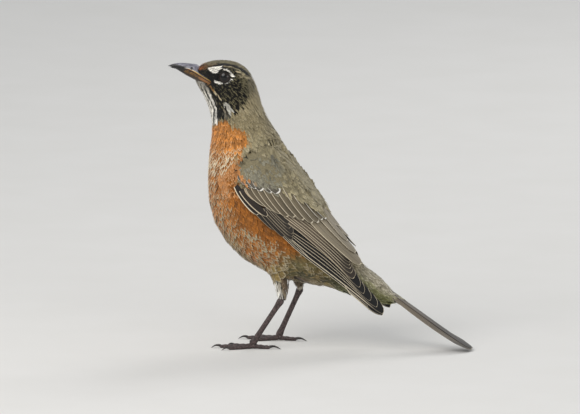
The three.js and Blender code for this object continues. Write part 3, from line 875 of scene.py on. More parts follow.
# %% The skin, let in by the coat's depth
# Outline in side view of what stays free of feathers for the bill.
BARE_BILL = [
    (-100, 182), (-77.5, 177.8), (-78.2, 176.6), (-80.8, 175.6), (-79.9, 174.1), (-76.5, 172.3),
    (-73.2, 170.8), (-70.9, 169.2), (-68.9, 167.0), (-68.9, 165.2), (-71.5, 164.0), (-75.4, 165.4),
    (-78, 166.5), (-79.6, 166.6), (-82, 164.0), (-100, 150),
]
EYE_SHIFT = np.array([-0.45, 0.0, -0.95])  # from the solid's middle to the ball's
EYE_LOOK = (-0.16, 1.0, 0.03)  # ahead, out to its own side, and up
EYE_IN = 0.3
LID_RADIUS, SOCKET = 3.55, 4.4
EYE_BARE = 3.8  # nearer than this to an eye's middle no feather grows
EYE_TALL = 1.06  # heights count a little more than widths, since an eye's opening is wider than high


def look(side_name):
    """The frame of an eye: its middle, and the way it looks as the z axis."""
    out = EYE_LOOK * np.array([1, SIDES[side_name], 1])
    out = unit(np.array([*(Matrix.Rotation(HEAD_TURN, 2) @ Vector(out[:2])), out[2]]))
    up = unit(np.array([0, 0, 1.0]) - out * out[2])
    centre = eye_middles[side_name] - out * EYE_IN + EYE_SHIFT
    return centre, np.cross(up, out), up, out


def pressed_in(points, sunk):
    """Points near an eye, pushed in to lie under its ball by a depth."""
    for side_name in SIDES:
        centre, ahead, up, out = look(side_name)
        arm = points - centre
        flat = np.hypot(arm @ ahead, (arm @ up) * EYE_TALL)
        ball = np.sqrt(np.maximum(eye_radius ** 2 - np.minimum(flat, LID_RADIUS) ** 2, 0))
        over = np.clip(arm @ out - (ball - sunk), 0, None) * (arm @ out > 0) * ramp(flat, SOCKET, LID_RADIUS)
        points = points - out * over[:, None]
    return points


def skin_piece(name, points, mesh, *stands_for):
    tint, _, _ = markings(points, np.full((len(points), 3), 0.5))
    mesh.vertices.foreach_set("co", (points * MM).astype(np.float32).ravel())
    colours = mesh.color_attributes.new(name="tint", type="FLOAT_COLOR", domain="POINT")
    colours.data.foreach_set("color", np.c_[tint, np.ones(len(tint))].astype(np.float32).ravel())
    mesh.polygons.foreach_set("use_smooth", [True] * len(mesh.polygons))
    mesh.update()
    return finish_piece(object_of(name, mesh), SKIN, "plumage_breast", *stands_for)


def thickness_under(tree, points, normals):
    """How thick a form is, straight in from each point."""
    found = []
    for point, inward in zip(points, -normals):
        hit = tree.ray_cast(Vector(point + 0.05 * inward), Vector(inward))
        found.append(hit[3] if hit[0] else 99.0)
    return np.array(found)


UNDER_BILL = 2.2  # how much further in the skin lies there
MOST_IN = 0.4  # the share of a form's thickness that a skin may be let in by
SKIN_UNDER_BALL = 0.8

_, _, body_depth = lie_at(body_points, body_normals)
straight = unturned(body_points)
border = 1 - near_line(straight[:, 0], straight[:, 2], BARE_BILL[1:-1], 0.0, 1.0)
bare = inside(BARE_BILL, straight[:, 0], straight[:, 2]) * border
let_in = body_depth + UNDER_BILL * bare
most = MOST_IN * thickness_under(body_tree, body_points, body_normals)
let_in = np.where(bare > 0, np.minimum(let_in, most), let_in)
skin_points = pressed_in(body_points - body_normals * let_in[:, None], SKIN_UNDER_BALL)
skin_piece("skin", skin_points, skin_mesh, *FLESH)
print("skin:", len(body_triangles), "triangles, let in by up to", let_in.max().round(2), "mm")

# %% [markdown]
# ## Sowing the feathers
#
# Feathers grow in even rows, and no two roots are closer than a set gap, small on the face and wide
# on the belly. Many random places are drawn on a form, and each one that is kept clears its
# neighbourhood. This is done twice. Under the wings the roots are on the bare form, and those that a
# wing hides are left out. On head, neck, mantle and shoulders they are on the dressed form, so that
# these feathers lie over the wing, and the places that a wing's stiff feathers cover stay free. To
# tell which is which, each place is looked up on the wing's map.

# %% Places on the wing's map
WING_MIDDLE = 1.8  # height over the sheet of the middle of the wing's feathers
ON_WING = 3.4  # within this of the middle height a place belongs to the wing

chart_u, chart_angle = (axis.ravel() for axis in np.meshgrid(np.arange(-9, 131.5), np.arange(-12, 93, 2.0)))
chart_tree = KDTree(len(chart_u))
for i, point in enumerate(on_wing(chart_u, chart_angle, np.full(len(chart_u), WING_MIDDLE), -1)):
    chart_tree.insert(point, i)
chart_tree.balance()


def wing_place(points):
    """Where points are on the wing's map, and how far they are from it."""
    found = [chart_tree.find((x, -abs(y), z)) for x, y, z in points.tolist()]
    index = np.array([hit[1] for hit in found])
    return chart_u[index], chart_angle[index], np.array([hit[2] for hit in found])


def above_map(points):
    """Places on the map, their gap, the way up from the map there, and how high over it they are."""
    u, angle, gap = wing_place(points)
    low, high = (on_wing(u, angle, np.full(u.shape, at), -1) for at in (0.0, 1.0))
    mirror = np.where(points[:, 1:2] > 0, [1, -1, 1], [1, 1, 1])
    return u, angle, gap, (high - low) * mirror, ((points * mirror - low) * (high - low)).sum(axis=1)


# %% [markdown]
# The solids of the folded wings leave a hollow beside the spine. On a live bird feathers fill it, so
# the dressed form is raised there before anything is sown on it. A softer way would be more and
# longer feathers, but they would fall into the hollow too.

# %% The hollow beside the spine, filled
BLADE_FILL, SPINE_FILL = 4.7, 3.6  # heights over the map beside the shoulder blade and at the spine
NEAR_MAP = 6  # further than this from the map a place isn't on the wing at all

u, angle, gap, out, height = above_map(dressed_points)
hollow = np.clip(mix(BLADE_FILL, SPINE_FILL, ramp(angle, 62, 84)) - height, 0, None)
facing = (dressed_normals * out).sum(axis=1)
hollow *= ramp(angle, 44, 54) * ramp(u, 0, 8) * ramp(u, 62, 52) * ramp(facing, 0.1, 0.4) * (gap < NEAR_MAP)
dressed_points = dressed_points + out * hollow[:, None]
dressed_tree = tree_of(dressed_points, dressed_triangles)
print("hollow of the back filled by up to", hollow.max().round(1), "mm")

# %% [markdown]
# The shoulder has its own colours: a grey patch of small coverts, and rust at the wrist.

# %% Markings of the shoulder
# Angles along u: where the scapulars end, where the grey patch ends below, and where all small
# shoulder feathers end.
scapular_edge = through([
    (-8, 20), (-4, 21), (-2, 24), (3, 33), (7, 42), (12, 50), (19, 53), (25, 49), (28, 40), (31, 33),
    (34, 33), (39, 39), (48, 50), (54, 59), (61, 67), (66, 76), (74, 82),
])
lesser_low = through([(-5, 20), (-2, 13), (4, 9), (8, 9), (12, 12), (16, 15), (20, 18), (25, 23), (30, 29)])
soft_low = through([
    (-8, -9), (10, -9), (13, 10), (18, 16), (24, 22), (29, 28), (34, 34), (39, 41), (46, 50), (54, 60),
    (62, 74),
])


def faces_in(points, normals):
    """Whether places on the wing look inwards, or lie under its sheet."""
    u, angle, gap, out, height = above_map(points)
    facing = (normals * out).sum(axis=1)
    return (gap < NEAR_MAP) & (angle < 50) & ((u > 2) & (facing < -0.2) | (u > 12) & (height < 0.3))


COVERT_GREY, COVERT_FRINGE = (142, 137, 118), (166, 161, 142)
WRIST_RUST = (196, 134, 78)


def shoulder_markings(points, dice):
    """The markings, with the grey patch and the rusty wrist of the wing."""
    tint, fringe, strength = markings(points, dice)
    u, angle, gap = wing_place(points)
    wing = ramp(gap, 7.5, 6.0) * ramp(u, -3.5, -1.0) * ramp(scapular_edge(u) - angle, -1.5, 1.5)
    uneven = 0.92 + 0.16 * dice[:, 0:1]
    low_edge = ramp(lesser_low(u) - angle, -0.8, 0.8) * ramp(u, 18, 15)
    wrist = np.maximum(low_edge, ramp(u + 0.12 * angle, 3.4, 1.6))
    for colour, rim, share in ((COVERT_GREY, COVERT_FRINGE, 1 - wrist), (WRIST_RUST, RUST_FRINGE, wrist)):
        part = (wing * share)[:, None]
        tint = tint * (1 - part) + linear(np.array(colour) * uneven) * part
        fringe = fringe * (1 - part) + linear(rim) * part
        strength = mix(strength, 0.3, part[:, 0])
    return tint, fringe, strength


# %% Sowing on a form
# How far apart the roots are, by the length of the feathers.
gap_for = through([
    (1.2, 0.42), (2, 0.54), (3, 0.7), (4.5, 1.05), (6.5, 1.45), (8, 1.7), (10, 2.0), (13, 2.4),
])
DRAWS = 7  # random places drawn for each root that fits


def sow(points, triangles, zone):
    """Roots and normals in a zone, spread by the gap that fits the feathers there."""
    corners = points[triangles]
    corners = corners[zone(corners.mean(axis=1))]
    cross = np.cross(corners[:, 1] - corners[:, 0], corners[:, 2] - corners[:, 0])
    area, normals = np.linalg.norm(cross, axis=1) / 2, unit(cross)
    _, length, _ = lie_at(corners.mean(axis=1), normals)
    wanted = area / gap_for(length) ** 2
    count = int(wanted.sum() * DRAWS)
    picked = chance.choice(len(area), count, p=wanted / wanted.sum())
    first, second = chance.random((2, count))
    over = first + second > 1
    first, second = np.where(over, 1 - first, first), np.where(over, 1 - second, second)
    a, b, c = corners[picked].transpose(1, 0, 2)
    roots = a + first[:, None] * (b - a) + second[:, None] * (c - a)
    gaps = gap_for(length[picked])
    tree = KDTree(count)
    for i, root in enumerate(roots):
        tree.insert(root, i)
    tree.balance()
    taken, kept = np.zeros(count, bool), []
    for i in range(count):
        if not taken[i]:
            kept.append(i)
            for _, j, _ in tree.find_range(roots[i], gaps[i]):
                taken[j] = True
    return roots[kept], normals[picked][kept]


class Bed:
    """The roots of one form: their places, and how the feathers on them lie."""

    def __init__(self, roots, normals, tree, colours):
        self.roots, self.normals, self.tree, self.colours = roots, normals, tree, colours
        self.dice = chance.random((len(roots), 3))
        self.lie, self.length, self.depth = lie_at(roots, normals)
        self.x, _, self.z = unturned(roots).T


def spine_run(points):
    """How far a place is along the wing's line, and whether it is on the back."""
    run = (points[:, 0] - WRIST[0]) * wing_run[0] + (points[:, 2] - WRIST[1]) * wing_run[1]
    return run, points[:, 0] * 0.72 + points[:, 2] * 0.69 > 62


def over_zone(points):
    """Head, neck, shoulders and the back down to a little under the scapulars."""
    run, back = spine_run(points)
    return (points[:, 2] > 101) | back & (run < 60)


def under_zone(points):
    """Breast, belly, flanks and rump, which overlap the other zone a little."""
    run, back = spine_run(points)
    low = (points[:, 2] < 101) | (points[:, 2] < 113) & (points[:, 0] > -57)
    return np.where(back, run > 52, low)


roots, normals = sow(dressed_points, dressed_triangles, over_zone)
straight = unturned(roots)
bare = inside(BARE_BILL, straight[:, 0], straight[:, 2])
for side_name in SIDES:
    centre, ahead, up, out = look(side_name)
    arm = roots - centre
    bare |= (np.hypot(arm @ ahead, (arm @ up) * EYE_TALL) < EYE_BARE) & (arm @ out > 0)
u, angle, gap = wing_place(roots)
scapular = (angle > scapular_edge(u + 7)) & (u < 55 - 3 * ramp(angle, 70, 82))
lesser = (angle > lesser_low(u)) & (u < 27)
keep = ~bare & (scapular | lesser | (u < 12) | (gap > ON_WING)) & ~faces_in(roots, normals)
above_wing = Bed(roots[keep], normals[keep], dressed_tree, shoulder_markings)

UNDER_WING_GAP = 3.8  # within this of the wing's middle height a root is hidden by it
roots, normals = sow(body_points, body_triangles, under_zone)
u, angle, gap = wing_place(roots)
lowest, highest = 2 + 7 * ramp(u, 55, 131), 76 - 52 * ramp(u, 70, 120)
keep = ~((gap < UNDER_WING_GAP) & (u > 4.5) & (u < 118) & (angle > lowest) & (angle < highest))
keep &= ~((roots[:, 0] > 34) & (normals[:, 2] < 0))  # the tail hides these
below_wing = Bed(roots[keep], normals[keep], robed_tree, markings)
print("roots above the wings:", len(above_wing.roots), "below:", len(below_wing.roots))

# %% [markdown]
# ## Laying the coat
#
# One small grid is the pattern for a vane: narrow at the root, rounded at the tip, and with a frayed
# end where the barbs part. Each feather is a copy of it, scaled, turned to the lie of the coat and
# bent onto the body by finding the nearest surface under each of its corners. Its height goes from
# the skin at the root to the outside of the coat at the tip, so each one covers the roots of the
# next. A feather that this would stretch across a gap, such as the one between wing and flank, is
# left out.

# %% The pattern of a vane and a coat made of it
def vane_pattern(rows, columns, fray, seed):
    """Places along (0 to 1), across (-1 to 1) and out of a vane, and its quads."""
    draw = np.random.default_rng(seed)
    along, across = np.meshgrid(np.linspace(0, 1, rows + 1), np.linspace(-1, 1, columns + 1), indexing="ij")
    width = ramp(along, -0.35, 0.45) * np.sqrt(np.clip(1 - ramp(along, 0.45, 1.3), 0, 1))
    run = along - ramp(along, 0.35, 1) * 0.24 * across ** 2
    ends = fray * draw.uniform(0.6, 1.3, columns + 1) * np.where(np.arange(columns + 1) % 2, 0.5, -1.0)
    run[-1] += ends
    run[-2] += 0.3 * ends
    corner = np.arange(along.size).reshape(along.shape)
    quads = np.stack([corner[:-1, :-1], corner[1:, :-1], corner[1:, 1:], corner[:-1, 1:]], axis=-1)
    maps = np.stack([across / 2 + 0.5, along], axis=-1)
    camber = (1 - across ** 2).ravel()
    return run.ravel(), (across * width).ravel(), camber, quads.reshape(-1, 4), maps.reshape(-1, 2)


SPINE = np.array([(-90, 172), (-62, 166), (-52, 140), (-28, 100), (5, 66), (45, 42), (96, 4)], float)


def unwrap(points):
    """Where each point lies on the bird unrolled: round the body, and along it from bill to tail."""
    steps = np.r_[0, np.cumsum(np.linalg.norm(np.diff(SPINE, axis=0), axis=1))]
    flat = points[:, [0, 2]]
    best = np.full(len(points), 1e9)
    run, out = np.zeros(len(points)), np.zeros(len(points))
    for start, end, at in zip(SPINE, SPINE[1:], steps):
        way = end - start
        part = np.clip(((flat - start) @ way) / (way @ way), 0, 1)
        offset = flat - start - part[:, None] * way
        gap = np.linalg.norm(offset, axis=1)
        better = gap < best
        across = (way[0] * offset[:, 1] - way[1] * offset[:, 0]) / np.linalg.norm(way)
        run = np.where(better, at + part * np.linalg.norm(way), run)
        out = np.where(better, across, out)
        best = np.minimum(best, gap)
    return np.stack([np.arctan2(points[:, 1], out) / (2 * np.pi) + 0.5, run / steps[-1]], axis=1)


def spread_out(places):
    """The same places stretched to fill the unit square, with a margin."""
    low, high = places.min(axis=0), places.max(axis=0)
    return 0.01 + 0.98 * (places - low) / (high - low)


PATCH = 0.003  # the side of the patch that one feather takes on the unrolled bird
SWING = math.radians(16)  # how far apart two neighbours may point
ROOT_DEPTH = 0.92  # the share of the coat's depth that a root lies under its outside
CAMBER = 0.1  # how far a vane's middle rises over its edges, in half widths
UNEVEN = 0.16  # the share of the depth by which feathers differ in height
UNDER_BALL, OVER_FLOOR = 0.35, 0.3
STRETCH, SLACK = 3.0, 1.0  # a quad may grow this many times as long, and this many millimetres more
SEEN = 0.62  # the share of a vane's corners up to the place that gives it its colour


def lay_coat(name, bed, chosen, pattern, width_share, slot, finish):
    """One piece of the coat from the chosen roots of a bed."""
    run, across, camber, quads, maps = pattern
    many = int(chosen.sum())
    root, normal, ahead = bed.roots[chosen], bed.normals[chosen], bed.lie[chosen]
    own, long, deep = bed.dice[chosen], bed.length[chosen], bed.depth[chosen]
    swing = SWING * (chance.random(many) - 0.5)
    ahead = ahead * np.cos(swing)[:, None] + np.cross(normal, ahead) * np.sin(swing)[:, None]
    beside = np.cross(normal, ahead)
    long = long * (0.86 + 0.28 * own[:, 1])
    wide = long * width_share * (0.85 + 0.3 * own[:, 2]) / 2
    flat = root[:, None] + ahead[:, None] * (run * long[:, None])[..., None]
    flat = flat + beside[:, None] * (across * wide[:, None])[..., None]
    rise = np.clip(run, 0, 1) ** 0.8
    height = -ROOT_DEPTH * deep[:, None] * (1 - rise) + CAMBER * wide[:, None] * camber * (0.3 + 0.7 * run)
    height = height + (own[:, 0:1] - 0.5) * UNEVEN * deep[:, None] * run
    laid = np.empty((many * len(run), 3))
    for i, (point, out) in enumerate(zip(flat.reshape(-1, 3).tolist(), height.ravel().tolist())):
        spot, face, _, _ = bed.tree.find_nearest(point)
        laid[i] = spot[0] + face[0] * out, spot[1] + face[1] * out, spot[2] + face[2] * out
    laid = pressed_in(laid, UNDER_BALL)
    laid[:, 2] = np.maximum(laid[:, 2], OVER_FLOOR)
    laid = laid.reshape(many, -1, 3)
    bent, plain = (np.linalg.norm(at[:, quads[:, 2]] - at[:, quads[:, 0]], axis=2) for at in (laid, flat))
    whole = (bent < STRETCH * plain + SLACK).all(axis=1)
    many, laid, root, own = int(whole.sum()), laid[whole], root[whole], own[whole]
    all_quads = (quads[None] + (np.arange(many) * len(run))[:, None, None]).reshape(-1, 4)
    tint, fringe, strength = bed.colours(laid[:, int(len(run) * SEEN)], own)
    tints = np.repeat(np.c_[tint, own[:, 1]], len(run), axis=0)
    rims = np.repeat(np.c_[fringe, strength], len(run), axis=0)
    spots = spread_out(unwrap(root))
    bake = spots[:, None] + (maps - 0.5)[None] * PATCH
    corner_maps = {"OFBake": bake.reshape(-1, 2), "vane": np.tile(maps, (many, 1))}
    colours = {"tint": tints, "rim": rims}
    piece = quads_object(name, laid.reshape(-1, 3), all_quads, corner_maps, colours)
    print(f"{name}: {many} feathers, {2 * len(all_quads)} triangles, {len(whole) - many} left out")
    return finish_piece(piece, finish, slot)


# %% [markdown]
# The feathers of face and neck are slender, and those of the breast broad, so each region has its own
# share of width. A region is one piece, which keeps the pieces few and their meshes small enough.

# %% Head, neck, breast and mantle
body_vane, head_vane = vane_pattern(5, 8, 0.07, 1), vane_pattern(4, 4, 0.10, 2)
bed = above_wing
on_head, on_neck = bed.z > HEAD_FROM, (bed.z > NECK_FROM) & (bed.z < HEAD_FROM)
on_back = ~(on_head | on_neck) & (rust_border(bed.z) < bed.x)
lay_coat("coat_head", bed, on_head, head_vane, 0.28, "plumage_head", FACE)
lay_coat("coat_neck", bed, on_neck, body_vane, 0.38, "plumage_breast", COAT)
lay_coat("coat_breast", bed, ~(on_head | on_neck | on_back), body_vane, 0.6, "plumage_breast", COAT)
lay_coat("coat_mantle", bed, on_back, body_vane, 0.46, "plumage_back", COAT)

# %% Belly, flanks, thighs and the coverts of the tail
bed = below_wing
thigh_trees = []
for side_name in SIDES:
    form = bmesh.new()
    form.from_mesh(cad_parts["thigh_" + side_name].data)
    form.transform(Matrix.Scale(1 / MM, 4))
    thigh_trees.append(BVHTree.FromBMesh(form))
    form.free()
on_thigh = np.array([min(tree.find_nearest(root)[3] for tree in thigh_trees) < 1.0 for root in bed.roots])
on_thigh &= bed.z < 49
down_leg = unit(np.array([0.12, 0.0, -1.0]))
leg_part = (ramp(bed.z, 52, 44) * on_thigh)[:, None]
ahead = bed.lie * (1 - leg_part) + down_leg * leg_part
bed.lie = unit(ahead - bed.normals * (ahead * bed.normals).sum(axis=1, keepdims=True))
bed.length = np.where(on_thigh, 5.8 - 1.4 * ramp(bed.z, 44, 34), bed.length)
bed.depth = np.where(on_thigh, 1.0, bed.depth)
covert = (bed.x > 14) & ~on_thigh
lay_coat("coat_belly", bed, ~(on_thigh | covert), body_vane, 0.6, "plumage_breast", COAT)
lay_coat("coat_tail_coverts", bed, covert, body_vane, 0.5, "plumage_back", COAT)
lay_coat("coat_thighs", bed, on_thigh, body_vane, 0.42, "plumage_thigh", COAT)

# %% [markdown]
# ## The bed of the shoulder feathers
#
# Where small soft feathers cover the wing they grow from skin too. It is a sheet on the wing's map,
# let in under them a little, and more at its edges so that no rim shows. Where the form folds, a
# place of the sheet can land on the wrong side of the fold, so one that strays from its neighbours
# is moved between them.

# %% A sheet of skin on each shoulder
BED_START, BED_END = 1, 53  # along the wing's map
BED_TOP = 89.5
BED_HEIGHT = 5.5  # over the map, where the search for the form's outside starts
BED_SUNK, RIM_SUNK = 1.1, 3.2
BED_WALL = 0.3
DEGREE = 0.44  # about how many millimetres one degree of the map is
STRAY, ROUNDS = 0.9, 6  # how far off its neighbours' middle a place strays, and how often that is put right


def shoulder_bed(side_name):
    form = bmesh.new()
    bmesh.ops.create_grid(form, x_segments=48, y_segments=32, size=1)
    if SIDES[side_name] > 0:
        bmesh.ops.reverse_faces(form, faces=form.faces)
    flat = (np.array([vertex.co[:2] for vertex in form.verts]) + 1) / 2
    u = mix(BED_START, BED_END, flat[:, 0])
    low = np.maximum(soft_low(u) + 4, 18 - 1.6 * u)
    angle = mix(low, BED_TOP, flat[:, 1])
    from_rim = np.minimum((angle - low) * DEGREE, np.minimum(BED_END - u, u - BED_START))
    points = on_wing(u, angle, np.full(u.shape, BED_HEIGHT), SIDES[side_name])
    near = [dressed_tree.find_nearest(point) for point in points.tolist()]
    spots, faces = np.array([hit[0] for hit in near]), np.array([hit[1] for hit in near])
    sunk = RIM_SUNK - (RIM_SUNK - BED_SUNK) * ramp(from_rim, 0, 2.5)
    sunk = np.minimum(sunk, MOST_IN * thickness_under(dressed_tree, spots, faces))
    points = spots - faces * sunk[:, None]

    form.verts.index_update()
    beside = [[edge.other_vert(vertex).index for edge in vertex.link_edges] for vertex in form.verts]
    inner = np.minimum(flat, 1 - flat).min(axis=1) > 0
    for _ in range(ROUNDS):
        between = np.array([points[around].mean(axis=0) for around in beside])
        stray = (np.linalg.norm(points - between, axis=1) > STRAY) & inner
        points[stray] = between[stray]
    mesh = bpy.data.meshes.new("shoulder")
    form.to_mesh(mesh)
    form.free()
    nodes = [f"wing_{side_name}_lesser_coverts", f"wing_{side_name}_scapulars"]
    thickened(skin_piece(f"wing_{side_name}_shoulder_skin", points, mesh, *nodes), BED_WALL)


for side_name in SIDES:
    shoulder_bed(side_name)
print("shoulder skins: 2")

# %% [markdown]
# ## Quills and coverts of the wing
#
# The wing's feathers are stiff and each one shows, so each is shaped by itself: an outer web, which
# is narrow, a shaft, an inner web and a tip. A folded wing closes like a fan: every feather lies over
# the next one outwards, and only its outer edge shows, as a pale line. On the wing's map a feather is
# a grid round a line, and its height falls from its outer edge inwards so that its neighbour can lie
# on it. The map `reach` holds how far a place is from the outer edge and from the tip, in units of the
# pale edging, so the shader can draw edging of the right width on any feather.

# %% The finish of stiff feathers
def quill_finish(name, barb_count, roughness, end_shade):
    made = Finish(name, Roughness=roughness, Specular_IOR_Level=0.3, Sheen_Weight=0.1)
    across, along, tint, rim, dice, strength = feather_values(made)
    from_edge, from_tip = made.map_place("reach")
    fine = barbs(made, across, along, dice, barb_count)
    ragged = (fine - 0.5) * 0.8
    edge = made.smooth(from_edge + ragged, 1.25, 0.75)
    tip = made.smooth(from_tip + ragged, 1.25, 0.75)
    pale = made.maths("MAXIMUM", edge * made.smooth(along, 0.96, 0.8, 0.35, 1.0), tip) * strength
    near_tip = made.smooth(along, 0.4, 0.85, 1.0, end_shade)
    colour = made.coloured(shaded(made, tint, near_tip), rim, pale)
    shaft = made.smooth(made.maths("ABSOLUTE", across - 0.5), 0.012, 0.035, 1.0, 0.0)
    shade = made.smooth(fine, 0.25, 0.75, 0.76, 1.2) * (1 - shaft * 0.4)
    made.paint(shaded(made, colour, shade))
    made.bump(fine + shaft * 1.5, 0.3, 0.08)
    return made.material


QUILL = quill_finish("flight feathers", 90.0, 0.55, 0.3)
COVERT = quill_finish("wing coverts", 44.0, 0.68, 0.8)

# %% [markdown]
# Each tract is a row of feathers from the leading edge inwards, and a list runs along the row. `roots`
# and `tips` are the ends of the shafts on the map, and `bow` is by how many degrees the middle of a
# shaft bends outwards. `webs` are the widths of the outer and the inner vane, `raised` is the height
# of the outer edge off the sheet at root and tip, `slope` is how much it falls for each millimetre
# inwards, and `tip` is the length of the rounded end. `edging` and `tipping` are the widths of the
# pale edge along the side and round the tip, and `right_shorter` is how much less far the row
# reaches on the right wing.

# %% Rows of wing feathers
TRACTS = {
    "primaries": dict(
        count=7, roots=[(46, -5), (46.5, -3.7), (47, -2.5), (47, -1), (47.5, 0.5), (48, 2.5), (48, 5)],
        tips=[(126, 0.5), (130.5, 2), (130, 6), (124.5, 8), (118.5, 9), (112.5, 11), (107, 15.5)],
        bow=[0.8, 0.2, 0, -2.5, -7, -10, -11.5], webs=(1.3, 4.8), raised=(1.1, 0.8), slope=0.2,
        tip=9, edging=0.25, tipping=0.26,
        colours=[(11, 10, 8), (17, 15, 12)], edges=[(222, 210, 186), (206, 190, 160)], strength=0.95),
    "secondaries": dict(
        count=7, roots=[(36, 8), (38, 13), (40, 18), (42, 22), (44, 27), (46, 32), (48, 36)],
        tips=[(101.5, 21), (97.5, 27), (95, 33), (93.5, 38), (92, 43), (90, 47), (88, 50)],
        bow=[-8.5, -7.5, -5, -5, -4.5, -4.5, -4.5], webs=(1.6, 5.2), raised=(1.9, 1.5), slope=0.2,
        tip=5, edging=0.36, tipping=0.4,
        colours=[(90, 78, 64), (108, 96, 79)], edges=[(206, 190, 162), (190, 176, 150)], strength=0.95),
    "tertials": dict(
        count=3, roots=[(42, 46), (42, 62), (40, 76)], tips=[(98, 56.5), (90.6, 71), (82, 78)],
        right_shorter=10, bow=[2.5, 0.5, -1], webs=(3.4, 6.4), raised=(2.2, 2.5), slope=0.12,
        tip=7, edging=0.42, tipping=0.5,
        colours=[(144, 132, 110), (156, 144, 122)], edges=[(226, 212, 184), (226, 214, 190)], strength=0.95),
    "primary_coverts": dict(
        count=7, roots=[(30, -9), (31, -5), (31.5, -2), (32, 1), (32, 4), (32.5, 6.5), (33, 9)],
        tips=[(46, -7.5), (52, -5.5), (57.5, -1.5), (56.5, 2), (54.5, 5), (51.5, 8), (48.5, 11)],
        bow=[0.5, 0.5], webs=(1.0, 3.0), raised=(2.7, 2.0), slope=0.18, tip=4, edging=0.26, tipping=0.3,
        colours=[(46, 41, 36), (58, 52, 45)], edges=[(160, 146, 122), (168, 154, 130)], strength=0.8),
    "greater_coverts": dict(
        count=10, roots=[(14, 4), (22, 32), (34, 66)],
        tips=[
            (33, 8), (38, 11.5), (42, 14.8), (46, 20.5), (51, 29), (57.5, 37), (61, 46.5), (61.5, 58),
            (62.5, 67),
        ],
        bow=[2.5, 2.5], webs=(2.1, 4.4), raised=(4.0, 3.4), slope=0.2, tip=4.5, edging=0.3, tipping=0.85,
        colours=[(100, 89, 71), (136, 124, 101)],
        edges=[(204, 190, 164), (208, 194, 168), (216, 204, 180), (248, 244, 234)], strength=1.0),
    "alula": dict(
        count=3, roots=[(11, -6.5), (13, -5), (14, 1)], tips=[(33, -9), (36.5, -3), (26.5, 2.5)],
        bow=[1.6, 1.6, 1.0], webs=(1.5, 2.6), raised=(3.6, 3.0), slope=0.15, tip=5, edging=0.5, tipping=0.3,
        colours=[(36, 30, 26), (56, 48, 40)], edges=[(240, 226, 198), (196, 176, 146)], strength=0.95),
    "median_coverts": dict(
        count=6, roots=[(7, 6), (13, 15), (21, 27)],
        tips=[(14.8, 7.8), (17.4, 10.4), (20, 12.8), (23.4, 15.4), (28.5, 24.4), (30.6, 29.6)],
        bow=[0.5, 0.5], webs=(2.2, 2.8), raised=(4.3, 4.3), slope=0.14, tip=3.0, edging=0.12, tipping=1.0,
        colours=[(92, 86, 76), (100, 94, 82)], edges=[(240, 236, 226), (242, 238, 228)], strength=1.0),
}


FLIGHT = ("primaries", "secondaries")


def along_list(rows, share):
    """The value partway along a list of rows."""
    rows = np.array(rows, float)
    at = share * (len(rows) - 1)
    low = min(int(at), len(rows) - 2)
    return mix(rows[low], rows[low + 1], at - low)


QUILL_ROWS, QUILL_COLUMNS = 16, 8
LAST_ANGLE = 92  # no feather reaches further over the middle of the back
POINT = 0.12  # the share of its width that a feather keeps at its very tip
ROOT_SCATTER, TIP_SCATTER = 0.6, 0.4  # millimetres along the map
QUILL_WALL, TAIL_WALL = 0.07, 0.14


def blunt(share):
    """The outline of a round end: 0 at its tip, and 1 from a share of 1 of its length."""
    return np.sqrt(np.clip(1 - (1 - np.clip(share, 0, 1)) ** 2, 0, 1))


def wing_feather(root, tip, bow, spec, side):
    """A grid of points for one feather on the map, with its vane and reach maps."""
    part = 1 - (1 - np.linspace(0, 1, QUILL_ROWS + 1)) ** 1.8
    across = np.linspace(-1, 1, QUILL_COLUMNS + 1)
    part, across = np.meshgrid(part, np.sign(across) * np.abs(across) ** 0.75, indexing="ij")
    u = mix(root[0], tip[0], part)
    line = mix(root[1], tip[1], part) - bow * np.sin(np.pi * part)
    from_tip = (1 - part) * np.hypot(tip[0] - root[0], (tip[1] - root[1]) * DEGREE)
    width = np.maximum(blunt(from_tip / spec["tip"]), POINT) * ramp(part, -0.35, 0.2)
    outer, inner = spec["webs"]
    offset = np.where(across < 0, across * outer, across * inner) * width
    angle = line + offset / np.maximum(wing_degree(u, line), 0.12)
    raised = mix(*spec["raised"], part) - spec["slope"] * (offset + outer)
    points = on_wing(u, np.minimum(angle, LAST_ANGLE), raised, side)
    from_inner = inner * width - offset + 0.5 * np.maximum(from_tip - spec["tip"] * 0.7, 0)
    reach = [(offset + outer * width) / spec["edging"], np.minimum(from_tip, from_inner) / spec["tipping"]]
    return points, np.stack([across / 2 + 0.5, part], axis=-1), np.stack(reach, axis=-1)


def strips(count, vane):
    """A strip of the unit square for each feather of a row, side by side."""
    first = np.arange(count)[:, None, None]
    x = (first + 0.08 + 0.84 * vane[..., 0].ravel()[None, :, None]) / count
    y = np.broadcast_to(0.02 + 0.96 * vane[..., 1].ravel()[None, :, None], x.shape)
    return np.concatenate([x, y], axis=2).reshape(-1, 2)


def row_piece(name, grids, tints, rims, finish, slot, thick, *stands_for):
    """One piece from feathers that share a grid, given a thickness."""
    points, vanes, reaches = (np.stack(part) for part in zip(*grids))
    count, tall, broad, _ = points.shape
    each = tall * broad
    corner = np.arange(each).reshape(tall, broad)
    quads = np.stack([corner[:-1, :-1], corner[:-1, 1:], corner[1:, 1:], corner[1:, :-1]], axis=-1)
    quads = quads.reshape(-1, 4)
    if points[0, 0, 0, 1] > 0:
        quads = quads[:, ::-1]
    quads = (quads[None] + (np.arange(count) * each)[:, None, None]).reshape(-1, 4)
    maps = {
        "OFBake": strips(count, vanes[0]),
        "vane": vanes.reshape(-1, 2),
        "reach": reaches.reshape(-1, 2),
    }
    colours = {"tint": np.repeat(tints, each, axis=0), "rim": np.repeat(rims, each, axis=0)}
    piece = thickened(quads_object(name, points.reshape(-1, 3), quads, maps, colours), thick)
    return finish_piece(piece, finish, slot, *stands_for)


